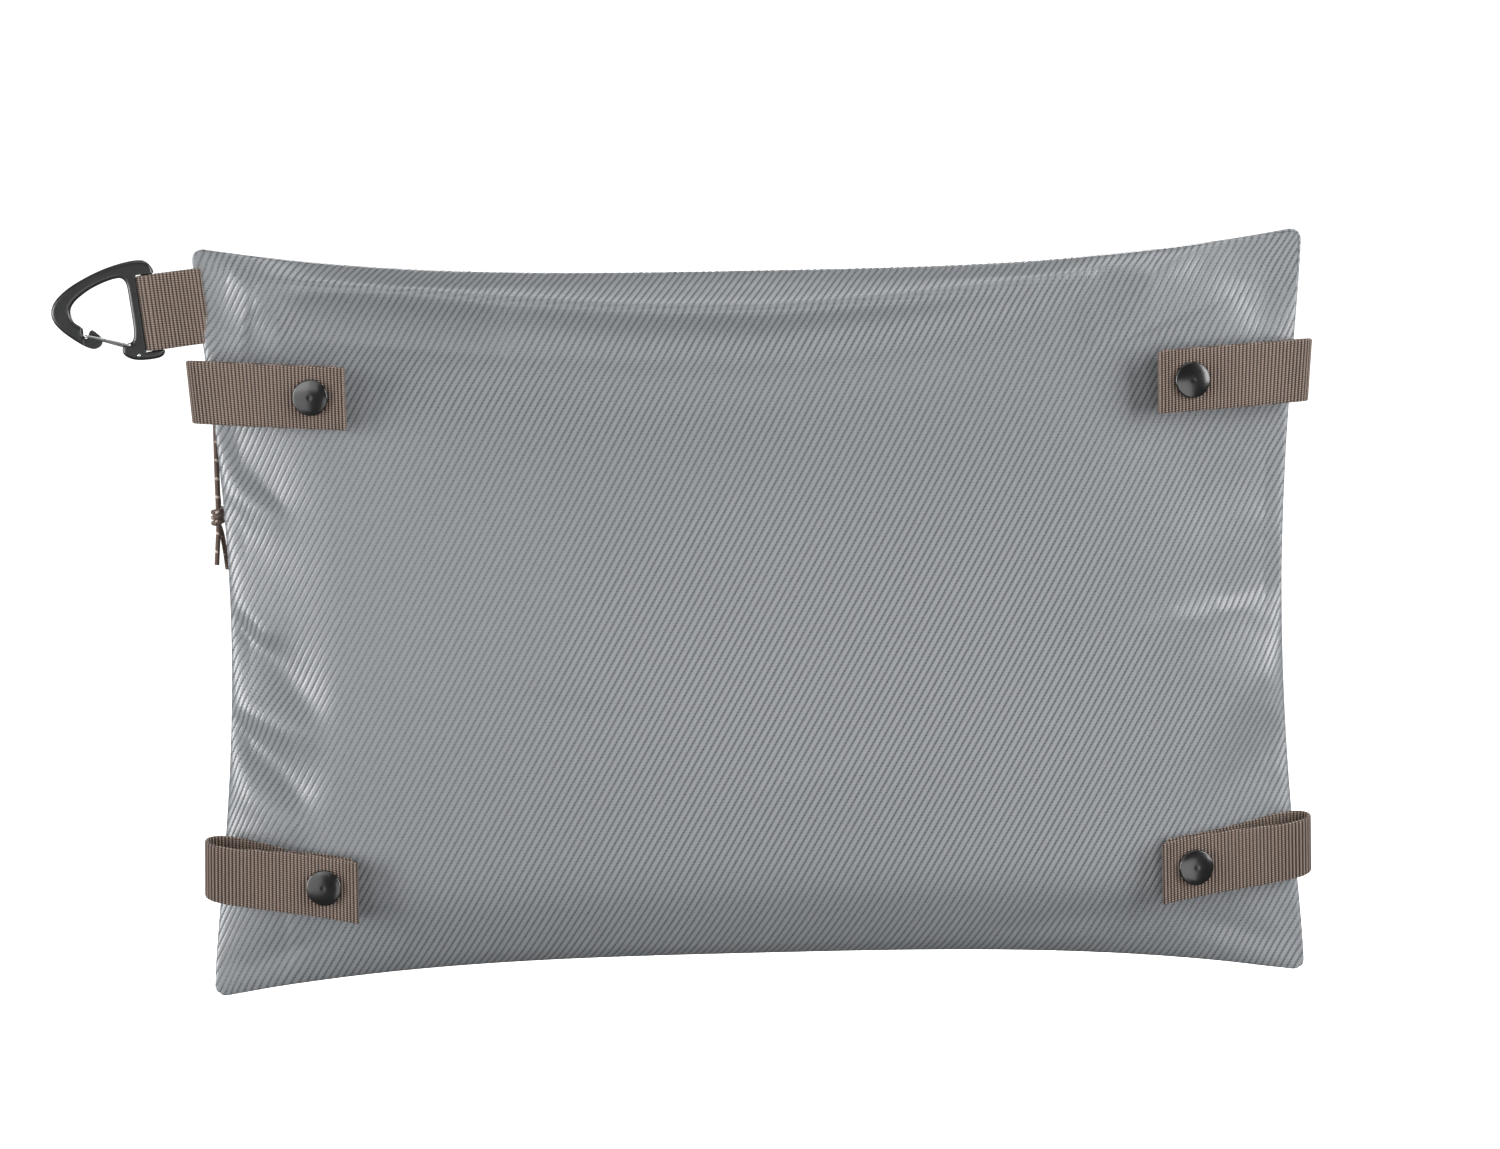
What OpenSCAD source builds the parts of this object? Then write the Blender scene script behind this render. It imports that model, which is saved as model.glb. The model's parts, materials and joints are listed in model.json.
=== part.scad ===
// Flat zippered mail pouch with four snap strap loops, a corner carabiner and a cord zip pull.
// Origin: the middle of the back panel. +X runs across the pouch, +Y from the back to the front, +Z up.

/* [Pouch] */
// Width between the corners
pouch_w = 440; // [400:1:480]
// Height between the corners
pouch_h = 300; // [280:1:340]
// How far the back panel bulges behind the side seams
back_bulge = 24; // [20:1:30]
// How far the front panels bulge before the side seams
front_bulge = 22; // [18:1:28]
// How far each side edge pulls in at its middle
side_inset = 10; // [4:0.5:14]
// How far the top and bottom edges pull in at their middle
end_inset = 13; // [6:0.5:18]
// Thickness of the coated fabric
fabric_t = 1.2; // [0.8:0.1:1.6]

/* [Zip] */
// Height of the zip above the middle of the pouch
zip_z = 102; // [95:1:108]
// How far the zip chain stands before the side seams
chain_depth = 10; // [8:0.5:12]
// Half the length of the straight run of the chain
chain_half = 210; // [200:1:212]
// Width of one zip tape
tape_w = 10; // [8:1:10]
// Width of one coil
coil_w = 2.6; // [2.2:0.1:3]
// Thickness of the coils
coil_t = 2; // [1.6:0.1:2.4]
// Length of the slider
slider_l = 12; // [10:0.5:14]
// Half the width of the slider
slider_half = 4.4; // [4:0.1:4.8]

/* [Straps] */
// Width of the strap webbing
strap_w = 25; // [20:1:30]
// Thickness of the webbing
web_t = 1.5; // [1.2:0.1:1.8]
// Sideways place of the snaps
snap_x = 173; // [165:1:180]
// Height of the upper snaps
snap_z_upper = 92; // [85:1:100]
// Height of the lower snaps
snap_z_lower = -104; // [-115:1:-95]
// Length of a strap leg from the snap to the fold
strap_l = 46.5; // [42:0.5:50]
// Length of the free end past the snap
strap_end = 14; // [12:1:18]
// Lean of the straps towards the side seams, in degrees
strap_lean = 11; // [8:0.5:14]
// How far the outer ends of the upper straps are raised, in degrees
strap_tilt_upper = 2.5; // [0:0.5:4]
// How far the outer ends of the lower straps are raised, in degrees
strap_tilt_lower = 8.5; // [0:0.5:10]
// Gap between the two legs of a snapped strap
strap_gap = 3.4; // [3:0.1:3.8]

/* [Snaps] */
// Radius of the domed cap
cap_r = 7.2; // [6:0.1:8]
// Height of the domed cap
cap_h = 2.2; // [1.6:0.1:3]
// Radius of the stud's nipple
nipple_r = 2.6; // [2.2:0.1:3]
// Radial play between the nipple and the socket
snap_play = 0.3; // [0.2:0.05:0.4]

/* [Carabiner] */
// Lean of the carabiner and its tab from the vertical, in degrees
tab_lean = 6.5; // [0:0.5:10]
// Width of the tab webbing
tab_w = 30; // [25:1:30]
// Sideways place of the carabiner's webbing bar
bar_x = -237.5; // [-245:0.5:-235]
// Height of the middle of that bar
bar_z = 126; // [120:1:130]
// Radius of that bar
bar_r = 2.25; // [2:0.05:2.3]
// Thickness of the carabiner's frame
frame_t = 5; // [4:0.1:5.4]
// Radius of the gate's wire
wire_r = 0.65; // [0.5:0.05:0.7]

/* [Pull cord] */
// Diameter of the pull cord
cord_d = 2; // [1.6:0.1:2]

/* [Hidden] */
seam_y = back_bulge;
chain_y = seam_y + chain_depth;
slot_half = coil_w + 2.9;
STRAPS = [for (row = [["upper", snap_z_upper, strap_tilt_upper], ["lower", snap_z_lower, strap_tilt_lower]])
    for (side = [["left", -1], ["right", 1]]) [str(row[0], "_", side[0]), side[1], row[1], row[2]]];
STRAP_KINDS = ["strap_base_", "strap_fold_", "strap_flap_", "snap_cap_", "snap_socket_"];

cells_x = 24;
cells_z = 14;
smooth_fn = 48;
bulge_power = 2.4;
bulge_round = 0.6;
// The panels' depth where they are sewn over the zip's tapes, and how far below the zip it holds them
zip_edge = chain_depth + 2.6;
zip_fade = 38;

// ---- the pouch's outline and its two curved faces ----

function half_w(z) = pouch_w / 2 - side_inset * pow(1 - pow(min(1, abs(2 * z / pouch_h)), 2), 1.4);
function half_h(x) = pouch_h / 2 - end_inset * (1 - pow(min(1, abs(2 * x / pouch_w)), 2));
// Share of the full bulge at a share a of the way from the middle to an edge
function swell(a) = pow(max(0, 1 - pow(min(1, abs(a)), bulge_power)), bulge_round);
// Shares from -1 to 1, closer together towards the edges
function share(i, cells) = sin(90 * (2 * i / cells - 1));
// How far the back stands behind the seams at x, z, and its y there
back_depth = function (x, z) back_bulge * swell(x / half_w(z)) * swell(z / half_h(x));
function back_y(x, z) = seam_y - back_depth(x, z);

// The zip holds the front straight along its length and lets it fall to the seams at both ends
function zip_edge_depth(x, z) =
    let (edge = half_w(zip_z), flat = chain_half - 1, across = abs(x) * edge / half_w(z),
         over = max(0, (across - flat) / (edge - flat)))
    zip_edge * sqrt(max(0, 1 - pow(min(1, over), 2)));
// Above the zip the front rolls over to the top seam; below it the zip's pull fades out
front_depth = function (x, z)
    let (at_zip = zip_edge_depth(x, z),
         roll = min(1, (z - zip_z) / (half_h(x) - zip_z)),
         side = swell(x / half_w(z)),
         free = front_bulge * side * swell(z / half_h(x)),
         free_at_zip = front_bulge * side * swell(zip_z / half_h(x)))
    z > zip_z ? at_zip * pow(1 - pow(roll, 3), bulge_round)
              : max(0, free + (at_zip - free_at_zip) * exp(-pow((zip_z - z) / zip_fade, 2)));

// The point one fabric thickness inside a face's point at x, z, as [x, depth, z]
function inside(x, z, depth, face) =
    let (step = 0.5, corner_gap = 0.3,
         gx = (face(x + step, z) - face(x - step, z)) / (2 * step),
         gz = (face(x, z + step) - face(x, z - step)) / (2 * step),
         w = norm([gx, gz, 1]))
    [x * (1 - corner_gap / half_w(z)) + fabric_t * gx / w, max(0, depth - fabric_t / w),
     z * (1 - corner_gap / half_h(x)) + fabric_t * gz / w];

// A thin shell between two grids of (nu + 1) by (nv + 1) points, the one nearer the front first
module shell(fore, aft, nu, nv) {
    count = (nu + 1) * (nv + 1);
    function at(i, j) = i * (nv + 1) + j;
    face = [for (i = [0:nu - 1]) for (j = [0:nv - 1])
        each [[at(i, j), at(i + 1, j), at(i + 1, j + 1)], [at(i, j), at(i + 1, j + 1), at(i, j + 1)]]];
    back = [for (t = face) [t[0] + count, t[2] + count, t[1] + count]];
    rim = concat([for (i = [0:nu]) at(i, 0)], [for (j = [1:nv]) at(nu, j)],
                 [for (i = [nu - 1:-1:0]) at(i, nv)], [for (j = [nv - 1:-1:1]) at(0, j)]);
    wall = [for (k = [0:len(rim) - 1])
        let (a = rim[k], b = rim[(k + 1) % len(rim)])
        each [[b, a, a + count], [b, a + count, b + count]]];
    polyhedron(concat(fore, aft), concat(wall, face, back), convexity = 8);
}

// A grid of [x, depth, z] points on the back
BACK_GRID = [for (i = [0:cells_x]) for (j = [0:cells_z])
    let (a = share(i, cells_x), b = share(j, cells_z))
    [a * half_w(b * pouch_h / 2), back_bulge * swell(a) * swell(b), b * half_h(a * pouch_w / 2)]];

// The same on the two strips of the front, above and below the zip
function front_point(a, z) = let (x = a * half_w(z)) [x, front_depth(x, z), z];
function upper_grid(cells) = [for (i = [0:cells_x]) for (j = [0:cells])
    let (a = share(i, cells_x), top = half_h(a * pouch_w / 2), low = zip_z + slot_half)
    front_point(a, low + (top - low) * sin(90 * j / cells))];
function lower_grid(cells) = [for (i = [0:cells_x]) for (j = [0:cells])
    let (a = share(i, cells_x), low = -half_h(a * pouch_w / 2), top = zip_z - slot_half)
    front_point(a, top - (top - low) * sin(90 * (1 - j / cells)))];

// Stands a grid of points off the seams, to the back (side -1) or the front (side 1)
function placed(grid, side) = [for (p = grid) [p[0], seam_y + side * p[1], p[2]]];
function lining(grid, face) = [for (p = grid) inside(p[0], p[2], p[1], face)];

module back_panel() {
    color("#8e9194")
        shell(placed(lining(BACK_GRID, back_depth), -1), placed(BACK_GRID, -1), cells_x, cells_z);
}

module front_upper_panel() {
    cells = 5;
    grid = upper_grid(cells);
    color("#8e9194") shell(placed(grid, 1), placed(lining(grid, front_depth), 1), cells_x, cells);
}

module front_lower_panel() {
    cells = 12;
    grid = lower_grid(cells);
    color("#8e9194") shell(placed(grid, 1), placed(lining(grid, front_depth), 1), cells_x, cells);
}

// A strip of the pouch along a seam, between two insets: the seam allowances and their binding
module seam_strip(half_l, edge, turn) {
    steps = 12;
    along = [for (k = [0:steps]) half_l * (2 * k / steps - 1)];
    rotate(turn) polygon(concat([for (u = along) [u, edge(u) - 4]],
                                [for (k = [steps:-1:0]) [along[k], edge(along[k]) - 11]]));
}

// The seam allowances and the tape that binds them, inside all four seams
module seam_binding() {
    binding_t = 1.2;
    top_edge = function (x) half_h(x);
    side_edge = function (z) half_w(z);
    color("#3c3d40") translate([0, seam_y + binding_t / 2, 0]) rotate([90, 0, 0]) linear_extrude(binding_t)
        for (turn = [0, 180]) {
            seam_strip(0.43 * pouch_w, top_edge, turn);
            seam_strip(0.4 * pouch_h, side_edge, turn + 90);
        }
}

// ---- the zip ----

module tape(side) {
    tape_t = 0.8;
    low = side > 0 ? coil_w : -coil_w - tape_w;
    color("#3c3d40") translate([2 - chain_half, chain_y - tape_t / 2, zip_z + low])
        cube([2 * chain_half - 4, tape_t, tape_w]);
}

module coil(side) {
    color("#2a2b2d")
        translate([-chain_half + slider_l - 4, chain_y - coil_t / 2, zip_z + (side > 0 ? 0.05 : -coil_w)])
        cube([2 * chain_half - slider_l + 3, coil_t, coil_w - 0.05]);
}

module zip_tape_upper() { tape(1); }
module zip_tape_lower() { tape(-1); }
module zip_coil_upper() { coil(1); }
module zip_coil_lower() { coil(-1); }

// A patch of fabric over each end of the zip, curved down to the side seam
module end_cover(side) {
    cover_t = 0.9;
    rise = zip_edge + cover_t + 0.1;
    reach = half_w(zip_z) - chain_half + 1.2;
    arc = function (r, h) [for (k = [0:8]) [r * sin(90 * k / 8), h * cos(90 * k / 8)]];
    color("#8e9194") mirror([side > 0 ? 0 : 1, 0, 0])
        translate([chain_half, seam_y, zip_z - slot_half - 1])
        linear_extrude(2 * slot_half + 2)
        polygon(concat(arc(reach, rise), [for (p = [8:-1:0]) arc(reach - cover_t, rise - cover_t)[p]]));
}

module zip_end_cover_left() { end_cover(-1); }
module zip_end_cover_right() { end_cover(1); }

slider_x = -chain_half + slider_l / 2 + 1;
plate_t = 1.2;
plate_gap = coil_t + 0.6;
slider_top = chain_y + plate_gap / 2 + plate_t;
bridge_rise = 3.1;
pivot_y = slider_top + bridge_rise - 0.9;
pivot_r = 0.6;
bridge_half = 3.2;
bridge_w = 2.4;
tab_plane_t = 1;
pull_reach = 12;

// One plate of the slider, with a flange along each side
module slider_plate(outside) {
    y = outside > 0 ? chain_y + plate_gap / 2 : chain_y - plate_gap / 2 - plate_t;
    flange = 0.6;
    translate([slider_x - slider_l / 2, y, zip_z - slider_half]) cube([slider_l, plate_t, 2 * slider_half]);
    for (side = [-1, 1])
        translate([slider_x - slider_l / 2, outside > 0 ? y - flange + 0.05 : y + plate_t - 0.05,
                   zip_z + side * (slider_half - 0.4) - 0.4])
            cube([slider_l, flange, 0.8]);
}

module zip_slider() {
    arch_t = 1;
    color("#26272a") {
        slider_plate(1);
        slider_plate(-1);
        // the post that parts the coils
        translate([slider_x - slider_l / 2, chain_y - plate_gap / 2 - 0.1, zip_z - 0.9])
            cube([2.6, plate_gap + 0.2, 1.8]);
        // the bridge that holds the pull tab
        for (side = [-1, 1])
            translate([slider_x + side * (bridge_half - arch_t / 2) - arch_t / 2, slider_top - 0.1,
                       zip_z - bridge_w / 2])
                cube([arch_t, bridge_rise + arch_t - 0.1, bridge_w]);
        translate([slider_x - bridge_half, slider_top + bridge_rise, zip_z - bridge_w / 2])
            cube([2 * bridge_half, arch_t, bridge_w]);
    }
}

// A short pull with a crossbar under the slider's bridge and an eye for the cord
module zip_pull_tab() {
    arm_w = 1.2;
    arm_out = bridge_w / 2 + 0.35;
    plate_from = bridge_half + 0.5;
    eye_r = 1.7;
    half = arm_out + arm_w;
    color("#26272a") translate([slider_x, pivot_y, zip_z]) {
        translate([0, 0, -half]) cylinder(r = pivot_r, h = 2 * half, $fn = smooth_fn);
        for (side = [-1, 1])
            translate([-plate_from - 0.1, -tab_plane_t / 2, side > 0 ? arm_out : -half])
                cube([plate_from + 0.1 + pivot_r, tab_plane_t, arm_w]);
        difference() {
            union() {
                translate([-pull_reach, -tab_plane_t / 2, -half]) cube([pull_reach - plate_from, tab_plane_t, 2 * half]);
                translate([-pull_reach, tab_plane_t / 2, 0]) rotate([90, 0, 0])
                    cylinder(r = half, h = tab_plane_t, $fn = smooth_fn);
            }
            translate([-pull_reach, tab_plane_t, 0]) rotate([90, 0, 0])
                cylinder(r = eye_r, h = 2 * tab_plane_t, $fn = smooth_fn);
        }
    }
}

// ---- the pull cord: one length through the eye, its two legs knotted together ----

cord_x = slider_x - pull_reach;
cord_y = pivot_y;
knot_top = 46;
knot_turns = 3;
knot_pitch = 2.2;
turn_steps = 12;
knot_r = cord_d + 0.1;
leg_y = 1.7;
// The front leg winds three times round the back leg, then both hang free
FRONT_ROUTE = concat(
    [for (p = [[0, 0, 101.4], [0, 0.9, 101.3], [0, 1.6, 100.6], [0, 1.8, 99], [0, 1.8, 95], [0, 1.7, 90],
               [0, 1.6, 85], [0, 1.5, 80], [0, 1.4, 75], [0, 1.3, 70], [0, 1.3, 65], [0, 1.3, 60],
               [0, 1.5, 55], [0, 1.8, 51], [0.3, 2.1, 48]])
        [cord_x + p[0], cord_y + p[1], p[2]]],
    [for (k = [0:knot_turns * turn_steps])
        let (turn = 360 * k / turn_steps)
        [cord_x + knot_r * sin(turn), cord_y + knot_r * cos(turn), knot_top - knot_pitch * k / turn_steps]],
    [for (p = [[0.6, 2.1, 37.4], [1.2, 2.1, 35], [1.8, 2, 31], [2.4, 1.9, 27], [2.8, 1.8, 23], [3, 1.8, 21]])
        [cord_x + p[0], cord_y + p[1], p[2]]]);
BACK_ROUTE = [for (p = [[0, 0, 101.4], [0, -0.9, 101.3], [0, -1.6, 100.6], [0, -1.8, 99], [0, -1.8, 95],
                        [0, -1.7, 90], [0, -1.6, 85], [0, -1.5, 80], [0, -1.4, 75], [0, -1.3, 70],
                        [0, -1.3, 65], [0, -1.2, 60], [0, -0.8, 55], [0, -0.3, 51], [0, 0, 48], [0, 0, 44],
                        [0, 0, 40], [-0.1, 0, 37], [-0.4, -0.1, 33], [-0.7, -0.2, 29], [-1, -0.3, 25],
                        [-1.1, -0.4, 23]])
    [cord_x + p[0], cord_y + p[1], p[2]]];

function unit(v) = v / norm(v);
function tangent(route, i) = unit(route[min(i + 1, len(route) - 1)] - route[max(i - 1, 0)]);
// Sideways directions carried along the route, so that the tube doesn't twist
function sideways(route, i, before) =
    let (t = tangent(route, i), n = unit(before - (before * t) * t))
    i == len(route) - 1 ? [n] : concat([n], sideways(route, i + 1, n));

module tube(route, d) {
    sides = 8;
    dirs = sideways(route, 0, [1, 0, 0]);
    last = len(route) - 1;
    points = [for (i = [0:last]) for (k = [0:sides - 1])
        let (n = dirs[i], b = cross(tangent(route, i), n))
        route[i] + d / 2 * (cos(360 * k / sides) * n + sin(360 * k / sides) * b)];
    faces = [for (i = [0:last - 1]) for (k = [0:sides - 1])
        let (a = i * sides + k, b = i * sides + (k + 1) % sides)
        each [[a, b, b + sides], [a, b + sides, a + sides]]];
    ends = [[for (k = [sides - 1:-1:0]) k], [for (k = [0:sides - 1]) last * sides + k]];
    // the faces above wind inwards, so they are turned round
    polyhedron(points, [for (f = concat(faces, ends)) [for (k = [len(f) - 1:-1:0]) f[k]]], convexity = 6);
}

module pull_cord_front() { color("#7d675c") tube(FRONT_ROUTE, cord_d); }
module pull_cord_back() { color("#7d675c") tube(BACK_ROUTE, cord_d); }

// ---- the four strap loops ----

// Sets children at a strap's snap: local +X runs out along the strap, local -Y away from the pouch
module at_strap(strap) {
    lift = strap_lift(strap);
    mirror([strap[1] > 0 ? 0 : 1, 0, 0])
        translate([snap_x, back_y(snap_x, strap[2]), strap[2]])
        rotate([0, 0, strap_lean]) translate([0, -lift, 0]) rotate([0, -strap[3], 0]) children();
}

// How far a straight strap has to stand off to clear the curved back
function strap_lift(strap) = 0.2 + max([for (s = [-10:4:strap_l]) for (t = [-strap_w / 2, 0, strap_w / 2])
    let (run = s * cos(strap[3]) - t * sin(strap[3]), rise = s * sin(strap[3]) + t * cos(strap[3]),
         x = snap_x + run * cos(strap_lean),
         y = back_y(x, strap[2] + rise) - back_y(snap_x, strap[2]))
    run * sin(strap_lean) * cos(strap_lean) - y * cos(strap_lean)]);

flap_y = web_t + strap_gap;
fold_r = strap_gap / 2;
post_r = 1.8;

module webbing_leg(from, to, y) {
    difference() {
        translate([from, -y - web_t, -strap_w / 2]) cube([to - from, web_t, strap_w]);
        translate([0, -y + 1, 0]) rotate([90, 0, 0]) cylinder(r = post_r, h = web_t + 2, $fn = smooth_fn);
    }
}

module strap_base(strap) {
    color("#7d675c") at_strap(strap) webbing_leg(-10, strap_l, 0);
}

module strap_flap(strap) {
    color("#7d675c") at_strap(strap) webbing_leg(-strap_end, strap_l, flap_y);
}

module strap_fold(strap) {
    color("#7d675c") at_strap(strap) translate([strap_l, -web_t - fold_r, -strap_w / 2]) difference() {
        cylinder(r = fold_r + web_t, h = strap_w, $fn = smooth_fn);
        translate([0, 0, -1]) cylinder(r = fold_r, h = strap_w + 2, $fn = smooth_fn);
        translate([-2 * strap_gap, -2 * strap_gap, -1]) cube([2 * strap_gap, 4 * strap_gap, strap_w + 2]);
    }
}

// A round profile turned about the snap's axis, with its heights counted away from the pouch
module snap_turned(strap, y) {
    at_strap(strap) translate([0, -y, 0]) rotate([90, 0, 0]) rotate_extrude($fn = smooth_fn) children();
}

module snap_cap(strap) {
    dome = [for (k = [0:8]) [cap_r * cos(90 * k / 8), 0.6 + (cap_h - 0.6) * sin(90 * k / 8)]];
    color("#1b1b1c") snap_turned(strap, flap_y + web_t)
        polygon(concat([[0, -web_t - 0.6], [post_r, -web_t - 0.6], [post_r, 0], [cap_r, 0]], dome));
}

socket_r = 5.3;
socket_h = strap_gap - 0.9;
module snap_socket(strap) {
    bore_r = nipple_r + snap_play;
    roof = 0.6;
    color("#2a2a2c") snap_turned(strap, flap_y - socket_h)
        polygon([[bore_r, 0], [socket_r, 0], [socket_r, socket_h], [post_r, socket_h],
                 [post_r, socket_h - roof], [bore_r, socket_h - roof]]);
}

module snap_studs() {
    base_h = 0.6;
    nipple_h = strap_gap - 0.9;
    color("#2a2a2c") for (strap = STRAPS) snap_turned(strap, web_t)
        polygon([[0, -0.4], [post_r, -0.4], [post_r, 0], [socket_r, 0], [socket_r, base_h],
                 [nipple_r, base_h], [nipple_r, nipple_h - 0.4], [nipple_r - 0.4, nipple_h], [0, nipple_h]]);
}

// Flanged posts that hold the studs, from inside the pouch through the back panel and the strap
module snap_eyelets() {
    color("#2a2a2c") for (strap = STRAPS) {
        flange_y = -strap_lift(strap) - fabric_t - 1.4;
        snap_turned(strap, 0)
            polygon([[0, flange_y], [5, flange_y], [5, flange_y + 0.6], [post_r, flange_y + 0.6],
                     [post_r, web_t - 0.4], [0, web_t - 0.4]]);
    }
}

// ---- the carabiner and its webbing tab ----

// Sets children in the carabiner's own axes: X away from the pouch, Y along the webbing bar, Z towards the front
module at_bar() {
    translate([bar_x, seam_y, bar_z]) rotate([0, -tab_lean, 0]) rotate([90, 0, 180]) children();
}

tab_root = (half_w(bar_z) + bar_x) / cos(tab_lean) + 0.8;
wrap_r = bar_r + 0.3;

// Outline of the webbing round the bar: an arc of radius r that narrows to half_t near a pointed root
function wrap_outline(r, root, half_t) = let (side = [[root, half_t / 5], [root + 3, half_t]])
    concat([for (q = side) [q[0], -q[1]]], [for (k = [-10:10]) [r * cos(10 * k), r * sin(10 * k)]],
           [side[1], side[0]]);

module carabiner_tab() {
    color("#7d675c") at_bar() translate([0, tab_w / 2, 0]) rotate([90, 0, 0]) linear_extrude(tab_w) difference() {
        polygon(wrap_outline(wrap_r + web_t, tab_root, web_t));
        polygon(wrap_outline(wrap_r, tab_root + 5, 0.05));
    }
}

// The end of the tab that is sewn into the side seam
module tab_anchor() {
    color("#7d675c") at_bar() translate([tab_root - 10.5, -tab_w / 2, 1.2]) cube([8, tab_w, web_t]);
}

// Cuts the corners of an outline, once for each pass
function rounded(p, passes) = passes == 0 ? p : rounded(
    [for (i = [0:len(p) - 1]) let (q = p[(i + 1) % len(p)]) each [p[i] * 0.75 + q * 0.25, p[i] * 0.25 + q * 0.75]],
    passes - 1);

slot_end = tab_w / 2 + 0.4;
gate_pivot = [10.2, -13.4];
gate_tip = [27.4, -6];
FRAME_OUTLINE = [
    // round the lobe that carries the gate, and up the outer side
    [13.8, -12.8], [13.4, -15.6], [9.5, -18], [3, -18.6], [-2.6, -18], [-3.2, -14], [-3.2, 15], [-2, 20], [3, 21.6],
    // along the top arm to the nose
    [13.4, 20.4], [23.4, 17.5], [33, 13.2], [39, 8], [39.8, 2], [35.5, -4], [26, -11.8], [21.6, -11],
    // the hook and its slot for the wire
    [20.6, -7.4], [24.2, -3.4], [25.9, -4.6], [26.4, -7], [28.2, -7], [28.2, -4.6], [27.8, -2.2],
    // back round the inside
    [31.6, 0.6], [32.3, 6.4], [24.2, 12], [14, 15.2], [8.2, 15], [8, 5], [7.9, -10.6], [12.4, -11]];

module carabiner_frame() {
    web_half = 1.5;
    bar_edge = bar_r + web_t + 0.9;
    color("#2b2c2e") at_bar() {
        difference() {
            translate([0, 0, -frame_t / 2]) linear_extrude(frame_t) polygon(rounded(FRAME_OUTLINE, 2));
            // the room for the webbing
            translate([-10, -slot_end, -frame_t]) cube([10 + bar_edge, 2 * slot_end, 2 * frame_t]);
            // the nose is thinner, so that the wire passes on both sides of it
            for (side = [0, 1]) mirror([0, 0, side])
                translate([18, -14, web_half]) cube([10.5, 11.6, frame_t]);
            translate([gate_pivot[0], gate_pivot[1], -frame_t]) cylinder(r = wire_r + 0.05, h = 2 * frame_t, $fn = smooth_fn);
        }
        translate([0, slot_end + 0.5, 0]) rotate([90, 0, 0]) cylinder(r = bar_r, h = 2 * slot_end + 1, $fn = smooth_fn);
    }
}

module wire(from, to) {
    run = to - from;
    translate(from) {
        rotate([0, acos(run[2] / norm(run)), atan2(run[1], run[0])]) cylinder(r = wire_r, h = norm(run), $fn = 24);
        sphere(r = wire_r, $fn = 24);
    }
}

module carabiner_gate() {
    side_z = frame_t / 2 + wire_r + 0.3;
    inner_z = 1.2;
    tip = [gate_tip[0], gate_tip[1], side_z];
    pivot = [gate_pivot[0], gate_pivot[1], side_z];
    color("#c9ccd0") at_bar() {
        for (side = [1, -1]) {
            far = [1, 1, side];
            wire([for (k = [0:2]) pivot[k] * far[k]], [for (k = [0:2]) tip[k] * far[k]]);
            wire([pivot[0], pivot[1], side * side_z], [pivot[0], pivot[1], side * inner_z]);
        }
        wire(tip, [tip[0], tip[1], -side_z]);
        translate([tip[0], tip[1], -side_z]) sphere(r = wire_r, $fn = 24);
    }
}

back_panel();
front_upper_panel();
front_lower_panel();
seam_binding();
zip_tape_upper();
zip_tape_lower();
zip_coil_upper();
zip_coil_lower();
zip_end_cover_left();
zip_end_cover_right();
zip_slider();
zip_pull_tab();
pull_cord_front();
pull_cord_back();
snap_studs();
snap_eyelets();
tab_anchor();
carabiner_tab();
carabiner_frame();
carabiner_gate();
for (strap = STRAPS) {
    strap_base(strap);
    strap_fold(strap);
    strap_flap(strap);
    snap_cap(strap);
    snap_socket(strap);
}
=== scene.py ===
"""The looks of a zippered mail pouch with snap straps, a carabiner and a cord zip pull."""
import json
import math

import bmesh
import bpy
import numpy as np
from mathutils import Matrix, Vector


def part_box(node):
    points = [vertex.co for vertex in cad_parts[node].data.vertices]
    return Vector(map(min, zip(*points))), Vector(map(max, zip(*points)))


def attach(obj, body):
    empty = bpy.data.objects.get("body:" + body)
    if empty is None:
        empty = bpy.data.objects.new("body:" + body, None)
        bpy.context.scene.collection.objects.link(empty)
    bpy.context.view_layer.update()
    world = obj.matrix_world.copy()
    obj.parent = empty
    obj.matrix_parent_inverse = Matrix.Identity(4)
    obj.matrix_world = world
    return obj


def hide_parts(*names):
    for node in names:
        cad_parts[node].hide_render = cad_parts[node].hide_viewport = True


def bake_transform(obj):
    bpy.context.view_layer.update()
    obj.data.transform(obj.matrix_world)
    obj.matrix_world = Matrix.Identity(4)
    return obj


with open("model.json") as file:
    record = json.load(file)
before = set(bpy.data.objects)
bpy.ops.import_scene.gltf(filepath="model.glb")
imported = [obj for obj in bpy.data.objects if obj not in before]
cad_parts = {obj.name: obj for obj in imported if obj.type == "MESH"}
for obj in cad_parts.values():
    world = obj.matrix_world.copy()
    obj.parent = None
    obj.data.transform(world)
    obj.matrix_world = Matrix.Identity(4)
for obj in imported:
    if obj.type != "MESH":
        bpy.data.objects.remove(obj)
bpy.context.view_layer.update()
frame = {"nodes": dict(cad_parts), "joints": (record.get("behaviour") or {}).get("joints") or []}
MM = 0.001
rng = np.random.default_rng(7)
joint_pos = {j["name"]: np.array(j.get("pos_m", (0, 0, 0)), float) for j in frame["joints"]}
joint_axis = {j["name"]: np.array(j["axis"], float) for j in frame["joints"]}


def corners(node):
    """The lowest and highest corner of a CAD node, as arrays."""
    low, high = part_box(node)
    return np.array(low), np.array(high)


# ---------------- sizes read from the frame

back_low, back_high = corners("back_panel")
POUCH_HALF_W, POUCH_HALF_H = back_high[0], back_high[2]
SEAM_Y = back_high[1]
BACK_BULGE = SEAM_Y - back_low[1]
FRONT_BULGE = corners("front_lower_panel")[1][1] - SEAM_Y
ZIP_Z = corners("zip_coil_lower")[1][2]
ZIP_EDGE = corners("front_upper_panel")[1][1] - SEAM_Y
SLOT_HALF = ZIP_Z - corners("front_lower_panel")[1][2]
CHAIN_HALF = corners("zip_end_cover_right")[0][0]

# ---------------- sizes that the frame doesn't give

FABRIC_T = 1.2 * MM
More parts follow.
